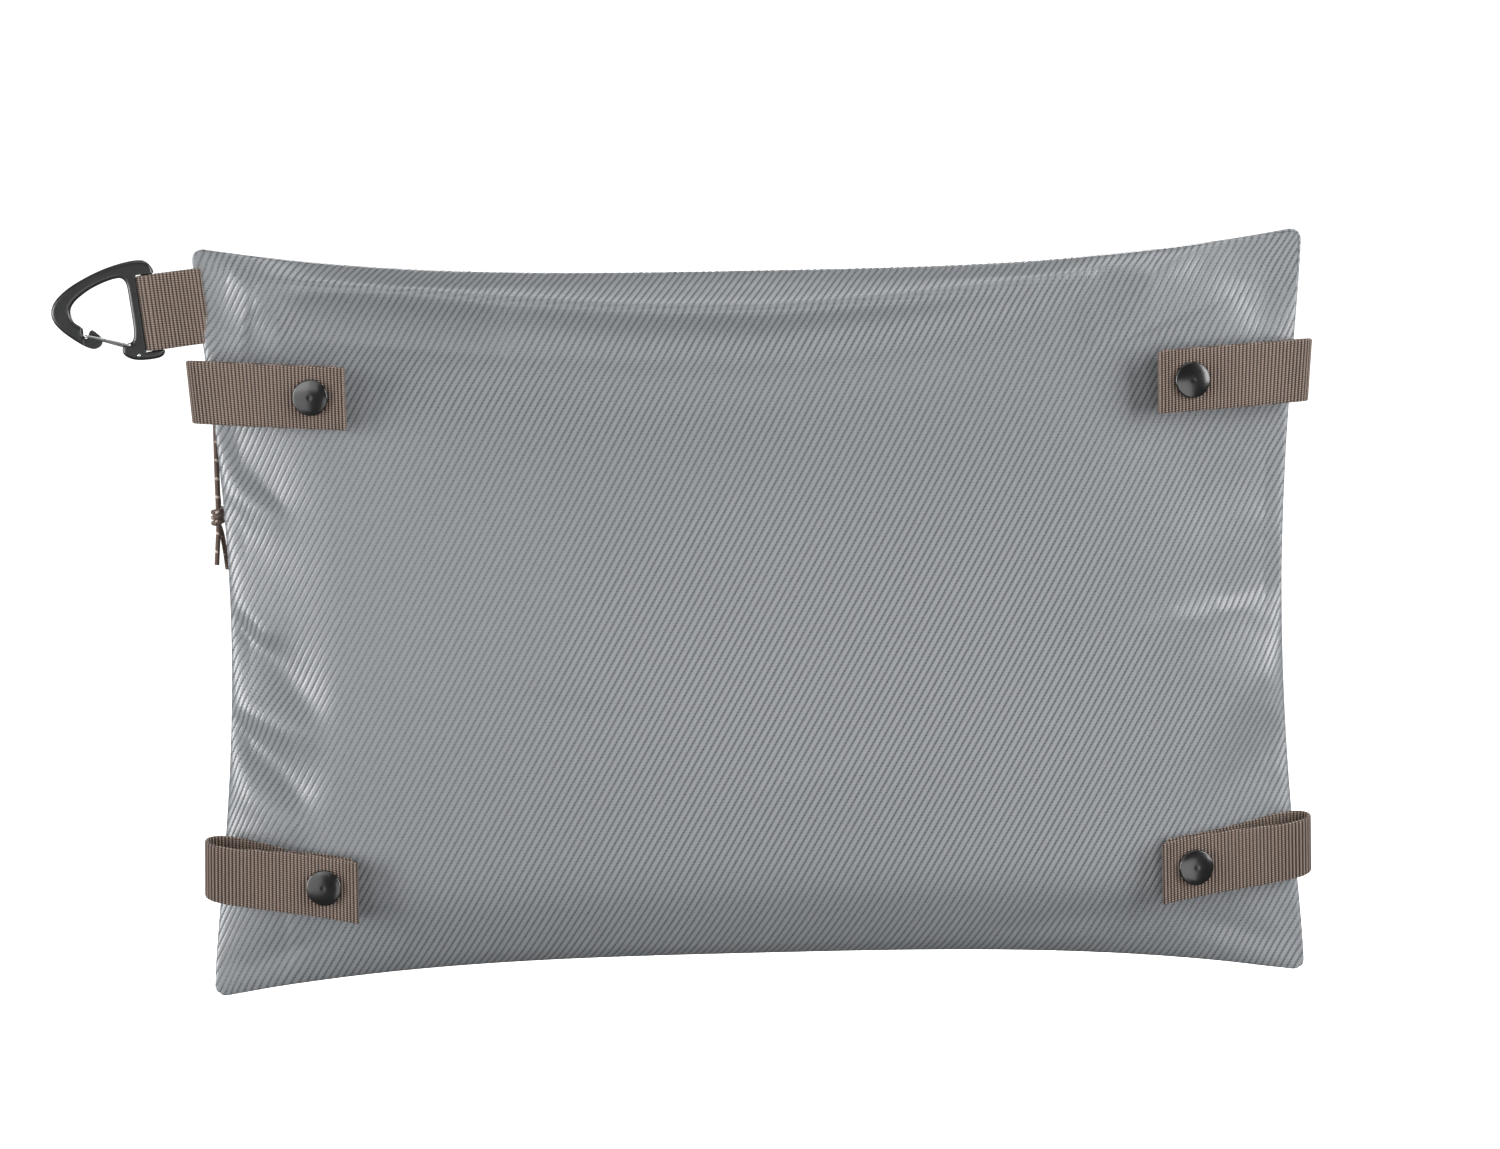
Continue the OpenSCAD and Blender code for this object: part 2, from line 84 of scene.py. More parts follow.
# How far the middles of the left, the right, and the top and bottom seams are drawn in
LEFT_INSET, RIGHT_INSET, END_INSET = 11.2 * MM, 8.6 * MM, 13 * MM
# The two powers in the pouch's fullness, and how far below the zip the cloth comes away from the zip's level
BULGE_POWER, BULGE_ROUND, ZIP_FADE = 2.4, 0.6, 38 * MM
# The straps' lean towards the side seams, their width and thickness, and the gap between the two legs
STRAP_LEAN = math.radians(11)
STRAP_W, WEB_T, STRAP_GAP = 25 * MM, 1.5 * MM, 3.4 * MM
# From snap to fold, and past the snap on the free leg and on the leg that is sewn on
STRAP_L, STRAP_END, STRAP_ROOT = 46.5 * MM, 14 * MM, 10 * MM
# The lean of the carabiner and its tab, the tab's width, and the radius of the bar in it
TAB_LEAN, TAB_W, BAR_R = math.radians(6.5), 30 * MM, 2.25 * MM
WEB_RIB_MM = 1.45
CORD_D = 2 * MM
CORNER_R = 4 * MM
FLOOR_Z = -0.42
STRAPS = [("upper_left", -1), ("upper_right", 1), ("lower_left", -1), ("lower_right", 1)]


# ---------------- the camera, and how lights are placed

def aim(obj, place, target, roll=0.0):
    """Puts obj at place, looking at target down its own -Z."""
    ahead = (Vector(target) - Vector(place)).normalized()
    right = ahead.cross(Vector((0, 0, 1))).normalized()
    up = right.cross(ahead)
    c, s = math.cos(roll), math.sin(roll)
    right, up = right * c + up * s, up * c - right * s
    turn = Matrix((right, up, -ahead)).transposed().to_4x4()
    obj.matrix_world = Matrix.Translation(Vector(place)) @ turn


def make_camera():
    """A long lens, a little above the pouch and a little to its left, tipped by a degree."""
    azimuth, elevation, roll = math.radians(1.9), math.radians(6.3), math.radians(-1.03)
    distance, target = 1.8, Vector((-0.0018, SEAM_Y, 0.0161))
    ahead = Vector((math.sin(azimuth) * math.cos(elevation), math.cos(azimuth) * math.cos(elevation),
                    -math.sin(elevation)))
    camera = bpy.data.objects.new("camera", bpy.data.cameras.new("camera"))
    camera.data.sensor_width, camera.data.lens, camera.data.clip_end = 36, 107.6, 60
    bpy.context.scene.collection.objects.link(camera)
    aim(camera, target - distance * ahead, target, roll)
    bpy.context.scene.camera = camera


def softbox(name, place, target, size, power, only=()):
    """A rectangular light aimed at target, which lights everything, or only some objects."""
    light = bpy.data.objects.new(name, bpy.data.lights.new(name, "AREA"))
    light.data.shape = "RECTANGLE"
    light.data.size, light.data.size_y = size
    light.data.energy = power
    bpy.context.scene.collection.objects.link(light)
    aim(light, place, target)
    if only:
        lit = bpy.data.collections.new(name)
        for piece in only:
            lit.objects.link(piece)
        light.light_linking.receiver_collection = lit


make_camera()


# ---------------- node helpers for materials

class Nodes:
    """A material's node tree, with short calls for what the materials here need."""

    def __init__(self, name):
        self.material = bpy.data.materials.new(name)
        self.material.use_nodes = True
        self.tree = self.material.node_tree
        self.shader = self.tree.nodes["Principled BSDF"]

    def put(self, socket, value):
        if isinstance(value, bpy.types.NodeSocket):
            self.tree.links.new(value, socket)
        else:
            socket.default_value = value

    def math(self, operation, a, b=0.0):
        node = self.tree.nodes.new("ShaderNodeMath")
        node.operation = operation
        self.put(node.inputs[0], a)
        self.put(node.inputs[1], b)
        return node.outputs[0]

    def wave(self, phase):
        """0 to 1 and back once for each whole step of phase, highest at whole numbers."""
        cosine = self.math("COSINE", self.math("MULTIPLY", phase, 2 * math.pi))
        return self.math("MULTIPLY", self.math("ADD", cosine, 1.0), 0.5)

    def mix(self, share, a, b):
        node = self.tree.nodes.new("ShaderNodeMix")
        node.data_type = "RGBA"
        self.put(node.inputs["Factor"], share)
        for socket, value in (("A", a), ("B", b)):
            self.put(next(i for i in node.inputs if i.name == socket and i.type == "RGBA"), value)
        return next(o for o in node.outputs if o.type == "RGBA")

    def noise(self, scale, detail=2.0):
        node = self.tree.nodes.new("ShaderNodeTexNoise")
        node.inputs["Scale"].default_value = scale
        node.inputs["Detail"].default_value = detail
        self.put(node.inputs["Vector"], self.tree.nodes.new("ShaderNodeTexCoord").outputs["Object"])
        return node.outputs["Fac"]

    def cloth(self):
        """The two coordinates in the flat cloth, in millimetres, that the mesh code stores."""
        node = self.tree.nodes.new("ShaderNodeAttribute")
        node.attribute_name = "cloth"
        split = self.tree.nodes.new("ShaderNodeSeparateXYZ")
        self.tree.links.new(node.outputs["Vector"], split.inputs[0])
        return split.outputs[0], split.outputs[1]

    def bump(self, height, distance, strength):
        node = self.tree.nodes.new("ShaderNodeBump")
        node.inputs["Strength"].default_value = strength
        node.inputs["Distance"].default_value = distance
        self.put(node.inputs["Height"], height)
        return node.outputs[0]

    def finish(self, **sockets):
        for name, value in sockets.items():
            self.put(self.shader.inputs[name.replace("_", " ")], value)
        return self.material


def srgb(r, g, b):
    """A linear colour with alpha from 0 to 255 screen values."""
    return tuple(((c / 255 + 0.055) / 1.055) ** 2.4 for c in (r, g, b)) + (1.0,)


def make_twill():
    """Coated fabric with steep diagonal ribs, each four warp yarns wide, that step one weft at a time. Its
    grooves and the dots in them carry painted shade.
    """
    n = Nodes("ribbed_twill")
    u, v = n.cloth()
    warp_mm, weft_mm = 0.70, 1.21
    warp, weft = n.math("DIVIDE", u, warp_mm), n.math("DIVIDE", v, weft_mm)
    rib_phase = n.math("MULTIPLY", n.math("SUBTRACT", warp, weft), 0.25)
    rib = n.math("POWER", n.wave(rib_phase), 0.28)
    groove = n.math("SUBTRACT", 1.0, rib)
    stitch = n.wave(weft)
    dots = n.math("MULTIPLY", groove, n.math("POWER", stitch, 1.5))
    fine = n.math("MULTIPLY", n.wave(warp), stitch)
    height = n.math("ADD", n.math("SUBTRACT", rib, n.math("MULTIPLY", dots, 0.5)),
                    n.math("MULTIPLY", fine, 0.12))
    cloudy = n.noise(9.0, 3.0)
    fibres = n.noise(1400.0, 2.0)
    rib_colour = n.mix(cloudy, srgb(146, 149, 153), srgb(156, 159, 163))
    # painted shade: the grooves and the dots in them are darkened in colour where the relief is low
    colour = n.mix(n.math("MULTIPLY", groove, 0.95), rib_colour, srgb(74, 82, 85))
    colour = n.mix(n.math("MULTIPLY", dots, 0.8), colour, srgb(42, 50, 53))
    colour = n.mix(n.math("MULTIPLY", n.math("POWER", fibres, 3.0), 0.5), colour, srgb(178, 181, 185))
    rough = n.math("ADD", 0.22, n.math("MULTIPLY", fibres, 0.16))
    return n.finish(Base_Color=colour, Roughness=rough, Specular_IOR_Level=0.7,
                    Normal=n.bump(height, 0.34 * MM, 0.5))


def make_webbing(name, gap_shade, light, rib_mm, bead_mm):
    """Webbing with ribs across its width, each a column of small beads. Painted shade darkens the gaps
    between ribs and beads, and the light bead tops are the webbing's own tone with a painted highlight.
    """
    n = Nodes(name)
    s, t = n.cloth()
    rib_phase = n.math("DIVIDE", s, rib_mm)
    row = n.math("FLOOR", n.math("ADD", rib_phase, 0.5))
    rib = n.wave(rib_phase)
    bead = n.wave(n.math("ADD", n.math("DIVIDE", t, bead_mm), n.math("MULTIPLY", row, 0.12)))
    height = n.math("ADD", n.math("POWER", rib, 0.6), n.math("MULTIPLY", n.math("MULTIPLY", bead, rib), 0.8))
    share = n.math("MULTIPLY", n.math("POWER", rib, 0.8), n.math("ADD", 0.2, n.math("MULTIPLY", bead, 0.8)))
    fuzz = n.noise(2600.0, 2.0)
    # from painted shade in the gaps between ribs and beads to the webbing's tone with a painted highlight on
    # the bead tops
    colour = n.mix(share, srgb(*gap_shade), srgb(*light))
    colour = n.mix(n.math("MULTIPLY", fuzz, 0.22), colour, srgb(70, 52, 45))
    rough = n.math("ADD", 0.55, n.math("MULTIPLY", fuzz, 0.25))
    return n.finish(Base_Color=colour, Roughness=rough, Specular_IOR_Level=0.35, Sheen_Weight=0.25,
                    Sheen_Roughness=0.5, Normal=n.bump(height, 0.28 * MM, 0.9))


def make_cord_cloth():
    """A braided brown cord with a light tracer fleck every few millimetres, and painted shade between its
    strands.
    """
    n = Nodes("flecked_cord")
    s, angle = n.cloth()
    braid_mm, fleck_mm, strands = 1.1, 3.7, 3.0
    run, turns = n.math("DIVIDE", s, braid_mm), n.math("MULTIPLY", angle, strands)
    braid = n.math("MAXIMUM", n.wave(n.math("ADD", run, turns)), n.wave(n.math("SUBTRACT", run, turns)))
    along = n.wave(n.math("DIVIDE", s, fleck_mm))
    around = n.wave(n.math("ADD", angle, n.math("MULTIPLY", s, 0.13)))
    fleck = n.math("GREATER_THAN", n.math("MULTIPLY", along, around), 0.74)
    # painted shade: darker in the hollows between the braid's strands; the flecks are the cord's own tracer
    colour = n.mix(braid, srgb(62, 46, 40), srgb(128, 106, 96))
    colour = n.mix(n.math("MULTIPLY", fleck, 0.9), colour, srgb(226, 206, 194))
    return n.finish(Base_Color=colour, Roughness=0.62, Specular_IOR_Level=0.35, Sheen_Weight=0.2,
                    Normal=n.bump(braid, 0.2 * MM, 0.9))


def make_tape_cloth():
    """Fine herringbone tape in near black, with painted shade between its yarns."""
    n = Nodes("woven_tape")
    u, v = n.cloth()
    yarn_mm, chevron_mm = 0.6, 1.6
    chevron = n.math("PINGPONG", n.math("DIVIDE", v, chevron_mm), 0.5)
    yarn = n.wave(n.math("ADD", n.math("DIVIDE", u, yarn_mm), chevron))
    # painted shade: darker between the yarns, where the relief is low
    colour = n.mix(yarn, srgb(26, 27, 29), srgb(58, 60, 63))
    return n.finish(Base_Color=colour, Roughness=0.75, Sheen_Weight=0.2, Normal=n.bump(yarn, 0.15 * MM, 0.8))


def make_hard(name, low, high, roughness, speck=900.0, bump=0.01 * MM, **sockets):
    """A hard finish with a faint mottle, and a little more roughness where it is handled."""
    n = Nodes(name)
    mottle = n.noise(speck, 3.0)
    wear = n.noise(120.0, 2.0)
    colour = n.mix(mottle, srgb(*low), srgb(*high))
    rough = n.math("ADD", roughness, n.math("MULTIPLY", wear, 0.12))
    return n.finish(Base_Color=colour, Roughness=rough, Normal=n.bump(mottle, bump, 0.5), **sockets)


twill = make_twill()
# the dark colour is painted shade in the webbing's gaps; the light one is its tone with a painted highlight
webbing = make_webbing("ribbed_webbing", (40, 26, 21), (202, 178, 162), WEB_RIB_MM, 0.88)
cord_cloth = make_cord_cloth()
tape_cloth = make_tape_cloth()
thread = make_hard("thread", (112, 114, 118), (160, 162, 166), 0.6, 3000.0)
black_lacquer = make_hard("black_lacquer", (14, 14, 15), (18, 18, 19), 0.13, 300.0, 0.001 * MM,
                          Specular_IOR_Level=0.9)
dark_metal = make_hard("dark_metal", (30, 31, 33), (44, 45, 47), 0.34, Metallic=0.7)
black_anodised = make_hard("black_anodised", (24, 25, 26), (34, 35, 36), 0.28, 1600.0, 0.02 * MM,
                           Specular_IOR_Level=0.9)
steel_wire = make_hard("steel_wire", (200, 202, 205), (224, 226, 228), 0.24, Metallic=1.0)
nylon_coil = make_hard("nylon_coil", (22, 22, 24), (34, 34, 36), 0.36)


# ---------------- mesh helpers

def mesh_piece(name, points, faces, material, cloth=None, round_shading=True):
    """A mesh object of points in metres, with cloth coordinates in millimetres if it is woven."""
    mesh = bpy.data.meshes.new(name)
    mesh.from_pydata([tuple(p) for p in points], [], faces)
    if cloth is not None:
        flat = np.zeros((len(points), 3), np.float32)
        flat[:, :2] = cloth
        mesh.attributes.new("cloth", "FLOAT_VECTOR", "POINT").data.foreach_set("vector", flat.ravel())
    mesh.polygons.foreach_set("use_smooth", [round_shading] * len(mesh.polygons))
    mesh.update()
    piece = bpy.data.objects.new(name, mesh)
    bpy.context.scene.collection.objects.link(piece)
    mesh.materials.append(material)
    return piece


def grid_faces(rows, columns, around=False, start=0):
    """Quads of a grid whose points are listed row by row. With around, each row closes on itself."""
    last = columns if around else columns - 1
    return [(start + i * columns + j, start + (i + 1) * columns + j,
             start + (i + 1) * columns + (j + 1) % columns, start + i * columns + (j + 1) % columns)
            for i in range(rows - 1) for j in range(last)]


def tube_faces(rings, sides, start=0):
    """The faces of a closed tube: quads between its rings, and one face over each end."""
    last = start + (rings - 1) * sides
    return grid_faces(rings, sides, around=True, start=start) + [
        tuple(range(start, start + sides)), tuple(range(last, last + sides))[::-1]]


def apply_modifiers(piece):
    """Bakes the modifiers into the mesh."""
    bpy.context.view_layer.update()
    done = bpy.data.meshes.new_from_object(piece.evaluated_get(bpy.context.evaluated_depsgraph_get()))
    piece.modifiers.clear()
    piece.data = done
    return piece


def thicken(piece, thickness):
    """Gives an open surface a thickness, on the side away from its normals."""
    solid = piece.modifiers.new("thickness", "SOLIDIFY")
    solid.thickness = thickness
    solid.offset = -1
    return apply_modifiers(piece)


def spaced(path, step):
    """Points at equal steps along a polyline, with their distances. What stands in a point's row after its
    x, y and z is carried along."""
    path = np.array(path, float)
    run = np.concatenate([[0], np.cumsum(np.linalg.norm(np.diff(path[:, :3], axis=0), axis=1))])
    marks = np.linspace(0, run[-1], max(2, int(round(run[-1] / step)) + 1))
    return np.stack([np.interp(marks, run, column) for column in path.T], 1), marks


def rounded_path(path, passes):
    """A smooth line through the middle of a polyline's corners, with its ends kept."""
    for _ in range(passes):
        a, b = path[:-1], path[1:]
        cut = np.empty((2 * len(a), path.shape[1]))
        cut[0::2], cut[1::2] = 0.75 * a + 0.25 * b, 0.25 * a + 0.75 * b
        path = np.concatenate([path[:1], cut[1:-1], path[-1:]])
    return path


def tube_rings(path, radius, sides, seed_normal=(1, 0, 0)):
    """Ring points of a tube round a path. The rings don't twist."""
    ahead = np.gradient(path, axis=0)
    ahead /= np.linalg.norm(ahead, axis=1)[:, None]
    turn = np.arange(sides) * 2 * math.pi / sides
    normal, rings = np.array(seed_normal, float), []
    for p, t, r in zip(path, ahead, np.broadcast_to(radius, len(path))):
        normal = normal - (normal @ t) * t
        normal /= np.linalg.norm(normal)
        side = np.cross(t, normal)
        rings.append(p + r * (np.cos(turn)[:, None] * normal + np.sin(turn)[:, None] * side))
    return np.concatenate(rings)


def tube(name, path, radius, sides, material, seed_normal=(1, 0, 0)):
    """A closed tube with cloth coordinates: millimetres along it, and turns round it."""
    run = np.concatenate([[0], np.cumsum(np.linalg.norm(np.diff(path, axis=0), axis=1))]) / MM
    points = tube_rings(path, radius, sides, seed_normal)
    cloth = np.stack([np.repeat(run, sides), np.tile(np.arange(sides) / sides, len(path))], 1)
    return mesh_piece(name, points, tube_faces(len(path), sides), material, cloth)


# ---------------- the pull cord, doubled and knotted

EYE = joint_pos["cord_swing"]


def cord_route(points):
    """A cord's route in metres, from millimetres beside the eye that it hangs from and above the origin."""
    return [(EYE[0] + x * MM, EYE[1] + y * MM, z * MM) for x, y, z in points]


def knot_turns():
    """The wraps of the knot, from its top down."""
    top, wraps, pitch, steps, radius = 46, 3, 2.2, 12, 2.1
    turns = [(step / steps, 2 * math.pi * step / steps) for step in range(wraps * steps + 1)]
    return [(radius * math.sin(t), radius * math.cos(t), top - pitch * done) for done, t in turns]


FRONT_ROUTE = cord_route(
    [(0, 0, 101.4), (0, 0.9, 101.3), (0, 1.6, 100.6), (0, 1.8, 99), (0, 1.8, 95), (0, 1.7, 90), (0, 1.6, 85),
     (0, 1.5, 80), (0, 1.4, 75), (0, 1.3, 70), (0, 1.3, 65), (0, 1.3, 60), (0, 1.5, 55), (0, 1.8, 51),
     (0.3, 2.1, 48)] + knot_turns()
    + [(0.6, 2.1, 37.4), (1.2, 2.1, 35), (1.8, 2, 31), (2.4, 1.9, 27), (2.8, 1.8, 23), (3, 1.8, 21)])
BACK_ROUTE = cord_route(
    [(0, 0, 101.4), (0, -0.9, 101.3), (0, -1.6, 100.6), (0, -1.8, 99), (0, -1.8, 95), (0, -1.7, 90),
     (0, -1.6, 85), (0, -1.5, 80), (0, -1.4, 75), (0, -1.3, 70), (0, -1.3, 65), (0, -1.2, 60), (0, -0.8, 55),
     (0, -0.3, 51), (0, 0, 48), (0, 0, 44), (0, 0, 40), (-0.1, 0, 37), (-0.4, -0.1, 33), (-0.7, -0.2, 29),
     (-1, -0.3, 25), (-1.1, -0.4, 23)])


def make_cord(name, node, route):
    """One leg of the cord, from the eye to its bare end."""
    path, marks = spaced(rounded_path(np.array(route), 2), 0.35 * MM)
    piece = tube(name, path, CORD_D / 2, 14, cord_cloth)
    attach(piece, "cord")
    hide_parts(node)


make_cord("cord_leg_front", "pull_cord_front", FRONT_ROUTE)
make_cord("cord_leg_back", "pull_cord_back", BACK_ROUTE)


# ---------------- the pouch's fabric

def half_w(z, x):
    """How far the seam on x's side is from the middle, at height z."""
    inset = np.where(x < 0, LEFT_INSET, RIGHT_INSET)
    return POUCH_HALF_W - inset * (1 - np.minimum(1, np.abs(z / POUCH_HALF_H)) ** 2) ** 1.4


def half_h(x):
    """How far the top and bottom seams are from the middle, at x."""
    return POUCH_HALF_H - END_INSET * (1 - np.minimum(1, np.abs(x / POUCH_HALF_W)) ** 3)


def swell(a):
    """The fullness from 1 in the middle to 0 at a seam, where a is 1 or -1."""
    return np.maximum(0, 1 - np.minimum(1, np.abs(a)) ** BULGE_POWER) ** BULGE_ROUND


def smooth(a):
    """0 up to 0, 1 from 1 on, and an even rise between."""
    a = np.clip(a, 0, 1)
    return a * a * (3 - 2 * a)


def back_depth(x, z):
    """How far the undented back stands out from the seams."""
    return BACK_BULGE * swell(x / half_w(z, x)) * swell(z / half_h(x))


def zip_edge_depth(x, z):
    """The same for the cloth along the zip, which is level and then rolls down at its ends."""
    edge, flat = half_w(ZIP_Z, x), CHAIN_HALF - 1 * MM
    over = np.clip((np.abs(x) * edge / half_w(z, x) - flat) / (edge - flat), 0, 1)
    return ZIP_EDGE * np.sqrt(1 - over ** 2)


def front_depth(x, z):
    """The same for the front: free below, and drawn to the zip's level near it and above it."""
    at_zip = zip_edge_depth(x, z)
    roll = np.clip((z - ZIP_Z) / (half_h(x) - ZIP_Z), 0, 1)
    side = swell(x / half_w(z, x))
    free = FRONT_BULGE * side * swell(z / half_h(x))
    free_at_zip = FRONT_BULGE * side * swell(ZIP_Z / half_h(x))
    below = np.maximum(0, free + (at_zip - free_at_zip) * np.exp(-((ZIP_Z - z) / ZIP_FADE) ** 2))
    return np.where(z > ZIP_Z, at_zip * (1 - roll ** 3) ** BULGE_ROUND, below)


# Dents and ridges of the two faces, in millimetres: the (x, z) points of a line, its half width and its
# depth, which is negative for a ridge. A dent that starts at a seam fades inwards; one marked "free" fades at
# both ends.
BACK_CREASES = [
    # the rolled top edge, and the long hollow under it
    ([(-206, 141), (-165, 136), (-110, 130), (-50, 125), (5, 123.5), (60, 127), (110, 132), (160, 139)],
     7.5, -6.4, "free"),
    ([(-200, 117), (-150, 110), (-100, 105), (-40, 101), (20, 100), (80, 105), (135, 114)], 15, 5.6, "free"),
    ([(-196, 139), (-150, 135), (-105, 130)], 7, -2.6, "free"),
    ([(-186, 114), (-140, 110), (-96, 106)], 12, 2.0, "free"),
    # the top corners
    ([(-204, 140), (-188, 123), (-178, 104)], 8, -3.0, "seam"),
    ([(-219, 140), (-211, 120), (-208, 98)], 15, 4.2, "seam"),
    ([(152, 146), (133, 127), (112, 111)], 9, 2.6, "seam"),
    ([(176, 146), (158, 129), (139, 106)], 8, -3.0, "seam"),
    ([(219, 146), (208, 128), (202, 104)], 17, 5.5, "seam"),
    # down the right side, which falls away from further in
    ([(158, 112), (176, 60), (184, 0)], 40, 4.0, "free"),
    ([(214, 66), (194, 48), (170, 26)], 12, 2.0, "seam"),
    ([(212, 12), (190, -8), (164, -28)], 15, 2.6, "seam"),
    ([(212, -22), (190, -38), (166, -50)], 13, -2.0, "seam"),
    ([(213, -52), (192, -70), (170, -88)], 11, 2.4, "seam"),
    # the bottom corners and hem
    ([(-212, -140), (-185, -130), (-160, -122)], 8, 1.5, "seam"),
    ([(208, -138), (180, -128), (156, -120)], 8, 1.5, "seam"),
    ([(-190, -112), (0, -112), (190, -112)], 26, -2.6, "free"),
    ([(90, -130), (130, -124), (160, -126)], 6, 0.8, "free"),
    # slow waves over the middle
    ([(-20, 40), (10, -10), (24, -60)], 30, 0.9, "free"),
    ([(-90, 70), (-70, 20), (-80, -30)], 26, -0.8, "free"),
]
# Facets down the back's left side: the lines between them, each with its depth in millimetres. From line to
# line the cloth is flat. They reach FACET_REACH in from the seam, fade over FACET_FADE, and meet in folds of
# about FOLD_R.
LEFT_FACETS = [
    ([(-216, 98), (-165, 84)], 0),
    ([(-210, 80), (-204, 70), (-189, 50)], 3.4),
    ([(-213, 56), (-191, 46)], -1.6),
    ([(-210, 46), (-196, 30)], 2.0),
    ([(-208, 12), (-196, -2)], -1.2),
    ([(-206, 0), (-175, -30)], 4.6),
    ([(-209, -31), (-180, -43)], -2.2),
    ([(-209, -40), (-183, -65)], 4.2),
    ([(-210, -62), (-188, -79)], -2.0),
    ([(-212, -94), (-170, -106)], 0),
]
FACET_REACH, FACET_FADE, FOLD_R = 20 * MM, 24 * MM, 3 * MM
FRONT_CREASES = [
    ([(-214, 66), (-196, 52), (-170, 30)], 8, 2.2, "seam"),
    ([(-212, 12), (-196, 0), (-172, -18)], 8, 2.4, "seam"),
    ([(-213, -56), (-196, -68), (-178, -88)], 8, 2.0, "seam"),
    ([(-213, -20), (-198, -30), (-182, -40)], 6, -1.5, "seam"),
    ([(214, 74), (198, 62), (176, 40)], 8, 2.2, "seam"),
    ([(212, 8), (196, -2), (172, -16)], 8, 2.4, "seam"),
    ([(213, -62), (198, -74), (176, -92)], 9, 2.0, "seam"),
    ([(212, -24), (198, -34), (182, -44)], 6, -1.5, "seam"),
    ([(-150, 84), (-100, 76), (-50, 78)], 8, 1.3, "free"),
    ([(30, 80), (90, 74), (150, 86)], 8, 1.3, "free"),
    ([(-100, -124), (-30, -120), (40, -126)], 8, 1.4, "free"),
    ([(-210, -139), (-182, -128), (-156, -118)], 8, 1.8, "seam"),
    ([(208, -138), (180, -127), (154, -118)], 8, 1.8, "seam"),
    ([(10, 50), (-16, 0), (-10, -60)], 30, 1.2, "free"),
]
# The seams' puckers are a sum of these waves, each a wave number and a phase
SEAM_WAVES = [(2 * math.pi / (w * MM), rng.uniform(0, 2 * math.pi)) for w in (57, 31, 19, 12.5)]


def line_distance(x, z, line):
    """Distance from a polyline, and the share of its length at the nearest point."""
    nearest, share = np.full_like(x, 1e9), np.zeros_like(x)
    line = np.array(line, float) * MM
    spans = np.diff(line, axis=0)
    lengths = np.linalg.norm(spans, axis=1)
    done = 0.0
    for start, span, length in zip(line, spans, lengths):
        t = np.clip(((x - start[0]) * span[0] + (z - start[1]) * span[1]) / length ** 2, 0, 1)
        gap = np.hypot(x - start[0] - t * span[0], z - start[1] - t * span[1])
        closer = gap < nearest
        nearest = np.where(closer, gap, nearest)
        share = np.where(closer, (done + t * length) / lengths.sum(), share)
        done += length
    return nearest, share


def pressed(x, z, creases):
    """How deep the dents are at x, z."""
    total = np.zeros_like(x)
    for line, width, depth, kind in creases:
        gap, share = line_distance(x, z, line)
        fade = np.sin(math.pi * share) ** 0.35 if kind == "free" else 1 - smooth((share - 0.3) / 0.7)
        total += depth * MM * fade * np.exp(-(gap / (width * MM)) ** 1.6)
    return total


def facets(x, z, lines):
    """How deep the flat facets of the left side are at x, z."""
    total, weights = np.zeros_like(x), np.zeros_like(x)
    for line, depth in lines:
        weight = (line_distance(x, z, line)[0] ** 2 + FOLD_R ** 2) ** -0.9
        total += depth * MM * weight
        weights += weight
    inward = half_w(z, x) - np.abs(x)
    return np.where(x < 0, total / weights * (1 - smooth((inward - FACET_REACH) / FACET_FADE)), 0)


def puckers(x, z):
    """Short waves across the seams, where thread gathers the cloth."""
    def waves(s):
        return sum(np.sin(k * s + phase) for k, phase in SEAM_WAVES) / len(SEAM_WAVES)
    reach, height = 9 * MM, 0.7 * MM
    gap_side, gap_end = (half_w(z, x) - np.abs(x)) / reach, (half_h(x) - np.abs(z)) / reach
    return height * (waves(z + 0.3 * x) * gap_side * np.exp(-gap_side ** 2)
                     + waves(x - 0.4 * z) * gap_end * np.exp(-gap_end ** 2))


def seam_hold(depth):
    """How free the cloth is to dent: 0 at the seams, and 1 where it stands this far out from them."""
    return np.clip(depth / (5 * MM), 0, 1)


def round_corners(x, z):
    """Moves points in the square of each corner onto a quarter disc."""
    cx, cz = POUCH_HALF_W - CORNER_R, POUCH_HALF_H - CORNER_R
    vx, vz = np.abs(x) - cx, np.abs(z) - cz
    inside = (vx > 0) & (vz > 0)
    long = np.maximum(np.hypot(vx, vz), 1e-9)
    share = np.where(inside, np.maximum(vx, vz) / long, 1)
    return (np.where(inside, np.sign(x) * (cx + vx * share), x),
            np.where(inside, np.sign(z) * (cz + vz * share), z))


def cloth_coordinates(points):
    """Distances in millimetres along a surface from its middle row and column: where each point lies in the
    flat cloth."""
    def along(grid, axis):
        step = np.linalg.norm(np.diff(grid, axis=axis), axis=2)
        start = np.zeros_like(step[:1] if axis == 0 else step[:, :1])
        run = np.concatenate([start, np.cumsum(step, axis)], axis)
        middle = run.shape[axis] // 2
        return (run - np.take(run, [middle], axis)) / MM
    u, v = along(points, 0), along(points, 1)
    return np.stack([u.ravel(), v.ravel()], 1)


def face_grid(columns, rows, low_z, high_z, depth, side, creases):
    """Surface points of a face between two heights given at each sideways share."""
    a = np.sin(np.linspace(-1, 1, columns) * math.pi / 2)[:, None]
    b = (1 - np.cos(np.linspace(0, 1, rows) * math.pi))[None, :] / 2
    edge_x = a * POUCH_HALF_W
    z = low_z(edge_x) + (high_z(edge_x) - low_z(edge_x)) * b
    x = a * half_w(z, a)
    x, z = np.broadcast_arrays(x, z)
    swollen = depth(x, z)
    free = seam_hold(swollen)
    dents = pressed(x, z, creases) + (facets(x, z, LEFT_FACETS) if side < 0 else 0)
    swollen = swollen - dents * free - puckers(x, z) * np.sqrt(free)
    x, z = round_corners(x, z)
    return np.stack(np.broadcast_arrays(x, SEAM_Y + side * np.maximum(swollen, 0), z), 2)


